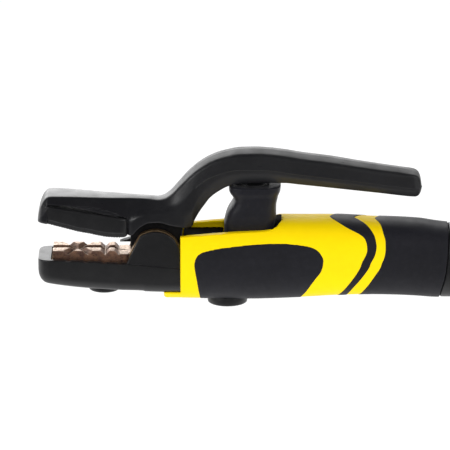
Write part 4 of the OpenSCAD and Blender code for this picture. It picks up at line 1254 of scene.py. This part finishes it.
def screw_plug(name, radius, x, z):
    """A round plug hanging below z, with a rounded rim and a shallow dish underneath."""
    # (share of the radius, height above the lowest face)
    face = [(0.02, 0.35), (0.25, 0.35), (0.40, 0.32), (0.46, 0.12), (0.50, 0.02), (0.56, 0),
            (0.72, 0.02), (0.84, 0.08), (0.91, 0.20), (0.955, 0.38), (0.985, 0.62),
            (0.997, 0.9), (1, 1.3)]
    profile = [(radius * share, -PLUG_HEIGHT + rise) for share, rise in face]
    profile += [(radius, -0.25), (radius - 0.25, 0.0), (radius * 0.5, 0.0), (radius * 0.02, 0.0)]
    return loft(name, revolve(profile, (x, 0, z), "z", 120), cap_rings=2, merge=0.001, sharp=45)


def inner_cover():
    corners = [(14.2, -6.9), (33.8, -6.9), (33.8, 8.5), (14.2, 8.5)]
    outline = rounded(corners, [0.4] * 4, 4, closed=True)
    ob = prism("inner_black_cover", outline, -11.2, 11.2, edge=0.5)
    return cut(ob, [box((13, -9.4, -8), (35, 9.4, 6.6))])


def handle_plug_recess(top):
    return rod(HANDLE_PLUG_RADIUS + PLUG_GAP, "z", -30, top, (HANDLE_SCREW_X, 0, 0))


# ---------------------------------------------------------------- make the pieces

shell = handle_shell()
cut(shell, [handle_plug_recess(-21.9), rod(5.3, "z", -25, -18.5, (HANDLE_SCREW_X, 0, 0))])
dress(shell, "yellow", "handle_shell", "root")
# painted shade on the inner faces round the mouth's closed end
shade_mouth(shell)
dress(cut(saddle(), [handle_plug_recess(-18)]), "soft", "saddle_grip", "root")
dress(band("chevron_band", stripe_front, stripe_rear, 14), "soft", "stripe_band", "root")
dress(band("rear_sleeve", sleeve_front, lambda angle: cap_front(angle) - 0.02, 40),
      "soft", "rear_grip_sleeve", "root")
dress(rear_cap(), "cap", "rear_cap", "root")
dress(grommet(), "rubber", "cable_grommet", "root")
dress(screw_plug("handle_plug", HANDLE_PLUG_RADIUS, HANDLE_SCREW_X, -21.98),
      "cap", "handle_screw_cap", "root")
dress(screw_plug("jaw_plug", JAW_PLUG_RADIUS, JAW_SCREW_X, -15.4),
      "cap", "lower_screw_cap", "root")
# the inner cover is a black part; its finish is darker and duller still, as painted shade for the
# shadow it lies in
dress(inner_cover(), "shade_black", "inner_cover", "root")
dress(tray(), "jaw", "lower_jaw_insulator", "root")
dress(copper_insert(), "copper", "lower_jaw_insert", "root")
dress(lever_moulding(), "lever", "lever_moulding", "lever")
dress(guard(), "jaw", "upper_jaw_guard", "lever")
# the boot and spring stretch between the two bodies
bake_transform(dress(boot(), "rubber", "spring_boot"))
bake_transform(dress(spring(), "steel", "return_spring"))

# the CAD pieces that stay, with their finishes
CAD_FINISHES = {
    "body_bar": "brass", "lower_jaw_screw": "steel", "pivot_pin": "steel",
    "pivot_clips": "steel", "pivot_washers": "steel", "spring_seat": "steel",
    "handle_screw": "steel", "lever_core": "dark", "pivot_bush": "brass",
    "upper_jaw_insert": "copper", "upper_jaw_screw": "steel", "spring_guide": "cap",
    "cable_clamp_screw_front": "steel", "cable_clamp_screw_rear": "steel"}
for node, finish in CAD_FINISHES.items():
    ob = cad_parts[node]
    ob.data.materials.clear()
    ob.data.materials.append(MATERIALS[finish])
    for face in ob.data.polygons:
        face.material_index = 0
        face.use_smooth = True
    ob.data.set_sharp_from_angle(angle=math.radians(30))
    if node in ("body_bar", "lever_core", "upper_jaw_insert"):
        bevel = ob.modifiers.new("edges", "BEVEL")
        bevel.width = 0.25 * MM
        bevel.segments = 2
        bevel.limit_method = "ANGLE"
        bevel.angle_limit = math.radians(35)
        bevel.use_clamp_overlap = True


# ---------------------------------------------------------------- camera, floor, light

# metres from here on
TARGET = Vector((0.03475, 0.0, 0.01279))
CAMERA_ELEVATION = math.radians(16.7)
CAMERA_DISTANCE = 2.4
VIEW_WIDTH = 0.225  # width of the view at the target
SENSOR = 36.0
scene = bpy.context.scene


def add_camera():
    data = bpy.data.cameras.new("camera")
    camera = bpy.data.objects.new("camera", data)
    scene.collection.objects.link(camera)
    way = Vector((0, -math.cos(CAMERA_ELEVATION), math.sin(CAMERA_ELEVATION)))
    camera.location = TARGET + way * CAMERA_DISTANCE
    camera.rotation_euler = (math.pi / 2 - CAMERA_ELEVATION, 0, 0)
    data.sensor_width = SENSOR
    data.lens = SENSOR * CAMERA_DISTANCE / VIEW_WIDTH
    data.clip_start = 0.1
    data.clip_end = 50
    scene.camera = camera


def floor_material():
    """Glowing paper: even to the camera, darker in reflections towards the near side."""
    grey = (0.36, 0.36, 0.36)
    material = new_material("floor_paper")
    nodes = Nodes(material.node_tree)
    rays = nodes.add("LightPath").outputs
    y = nodes.split(nodes.add("TexCoord").outputs["Object"])[1]
    reflected = nodes.ease(y, over=(-0.20, -0.015), to=(0.04, 1.0))
    glow = nodes.mix("FLOAT", rays["Is Glossy Ray"], 1.0, reflected)
    glow = nodes.mix("FLOAT", rays["Is Camera Ray"], glow, 0.78)
    emission = nodes.add("Emission", {"Strength": glow})
    tooth = nodes.add("TexNoise", {"Scale": 400}).outputs["Fac"]
    bump = nodes.add("Bump", {"Strength": 0.05, "Distance": 0.0002, "Height": tooth})
    diffuse = nodes.add("BsdfDiffuse", {"Color": grey, "Normal": bump.outputs[0]})
    colour = nodes.mix("RGBA", rays["Is Glossy Ray"], grey, (0.0, 0.0, 0.0))
    nodes.tree.links.new(colour, diffuse.inputs["Color"])
    paper = nodes.add("AddShader", {0: diffuse.outputs[0], 1: emission.outputs[0]})
    # clear when seen from below
    incoming_z = nodes.split(nodes.add("NewGeometry").outputs["Incoming"])[2]
    below = nodes.math("LESS_THAN", incoming_z, 0.0)
    clear = nodes.add("BsdfTransparent")
    both = nodes.add("MixShader", {0: below, 1: paper.outputs[0], 2: clear.outputs[0]})
    nodes.add("OutputMaterial", {0: both.outputs[0]})
    return material


def add_floor():
    """A round floor, 75 mm below the pivot."""
    sides = 64
    profile = [[radius, -75.0] for radius in (1, 200, 600, 1500, 3500, 6000.0)]
    shape = Shape().grid(revolve(profile, (35, 0, 0), "z", sides), loop_v=True)
    shape.faces.append(tuple(range(sides)))
    floor = shape.obj("floor", merge=0)
    floor.data.materials.append(floor_material())


def add_world():
    world = bpy.data.worlds.new("studio")
    scene.world = world
    world.use_nodes = True
    nodes = Nodes(world.node_tree)
    x, y, z = nodes.split(nodes.add("TexCoord").outputs["Generated"])
    # what gloss sees: a bright sweep behind, dimmer panels left and right, little in front
    back = nodes.math("MULTIPLY", nodes.ease(y, over=(0.45, 0.97), to=(0.0, 2.6)),
                      nodes.ease(x, over=(-0.05, 0.38), to=(1.2, 0.25)))
    left = nodes.ease(nodes.math("MULTIPLY", x, -1.0), over=(0.5, 1.0), to=(0.0, 0.22))
    right = nodes.ease(x, over=(0.6, 1.0), to=(0.0, 0.25))
    gloss = nodes.math("ADD", nodes.math("ADD", back, left), nodes.math("ADD", right, 0.035))
    # what matt surfaces see: even light, a little stronger behind
    matt = nodes.math("ADD", nodes.ease(y, over=(-1.0, 1.0), to=(0.42, 0.72)),
                      nodes.ease(z, over=(0.2, 1.0), to=(0.0, -0.05)))
    rays = nodes.add("LightPath").outputs
    strength = nodes.mix("FLOAT", rays["Is Glossy Ray"], matt, gloss)
    strength = nodes.mix("FLOAT", rays["Is Camera Ray"], strength, 1.05)
    background = nodes.add("Background", {"Color": (1, 1, 1), "Strength": strength})
    nodes.add("OutputWorld", {0: background.outputs[0]})


def add_lamp(name, azimuth, elevation, distance, size, power, glossy=True):
    """A square soft light; azimuth 0 is the camera side, positive towards +X."""
    data = bpy.data.lights.new(name, "AREA")
    data.shape = "SQUARE"
    data.size = size
    data.energy = power
    lamp = bpy.data.objects.new(name, data)
    a, e = math.radians(azimuth), math.radians(elevation)
    way = Vector((math.sin(a) * math.cos(e), -math.cos(a) * math.cos(e), math.sin(e)))
    lamp.location = TARGET + way * distance
    lamp.rotation_mode = "QUATERNION"
    lamp.rotation_quaternion = way.to_track_quat("Z", "Y")
    scene.collection.objects.link(lamp)
    lamp.visible_glossy = glossy


add_camera()
add_floor()
add_world()
add_lamp("key_left", azimuth=-55, elevation=24, distance=1.0, size=0.45, power=2.1)
add_lamp("key_right", azimuth=50, elevation=28, distance=1.0, size=0.45, power=1.7)
add_lamp("top", azimuth=170, elevation=76, distance=1.1, size=0.7, power=2.2, glossy=False)
add_lamp("front", azimuth=0, elevation=19, distance=1.6, size=0.5, power=7.0, glossy=False)

scene.view_settings.view_transform = "Standard"
scene.view_settings.look = "None"
scene.view_settings.exposure = 0.0
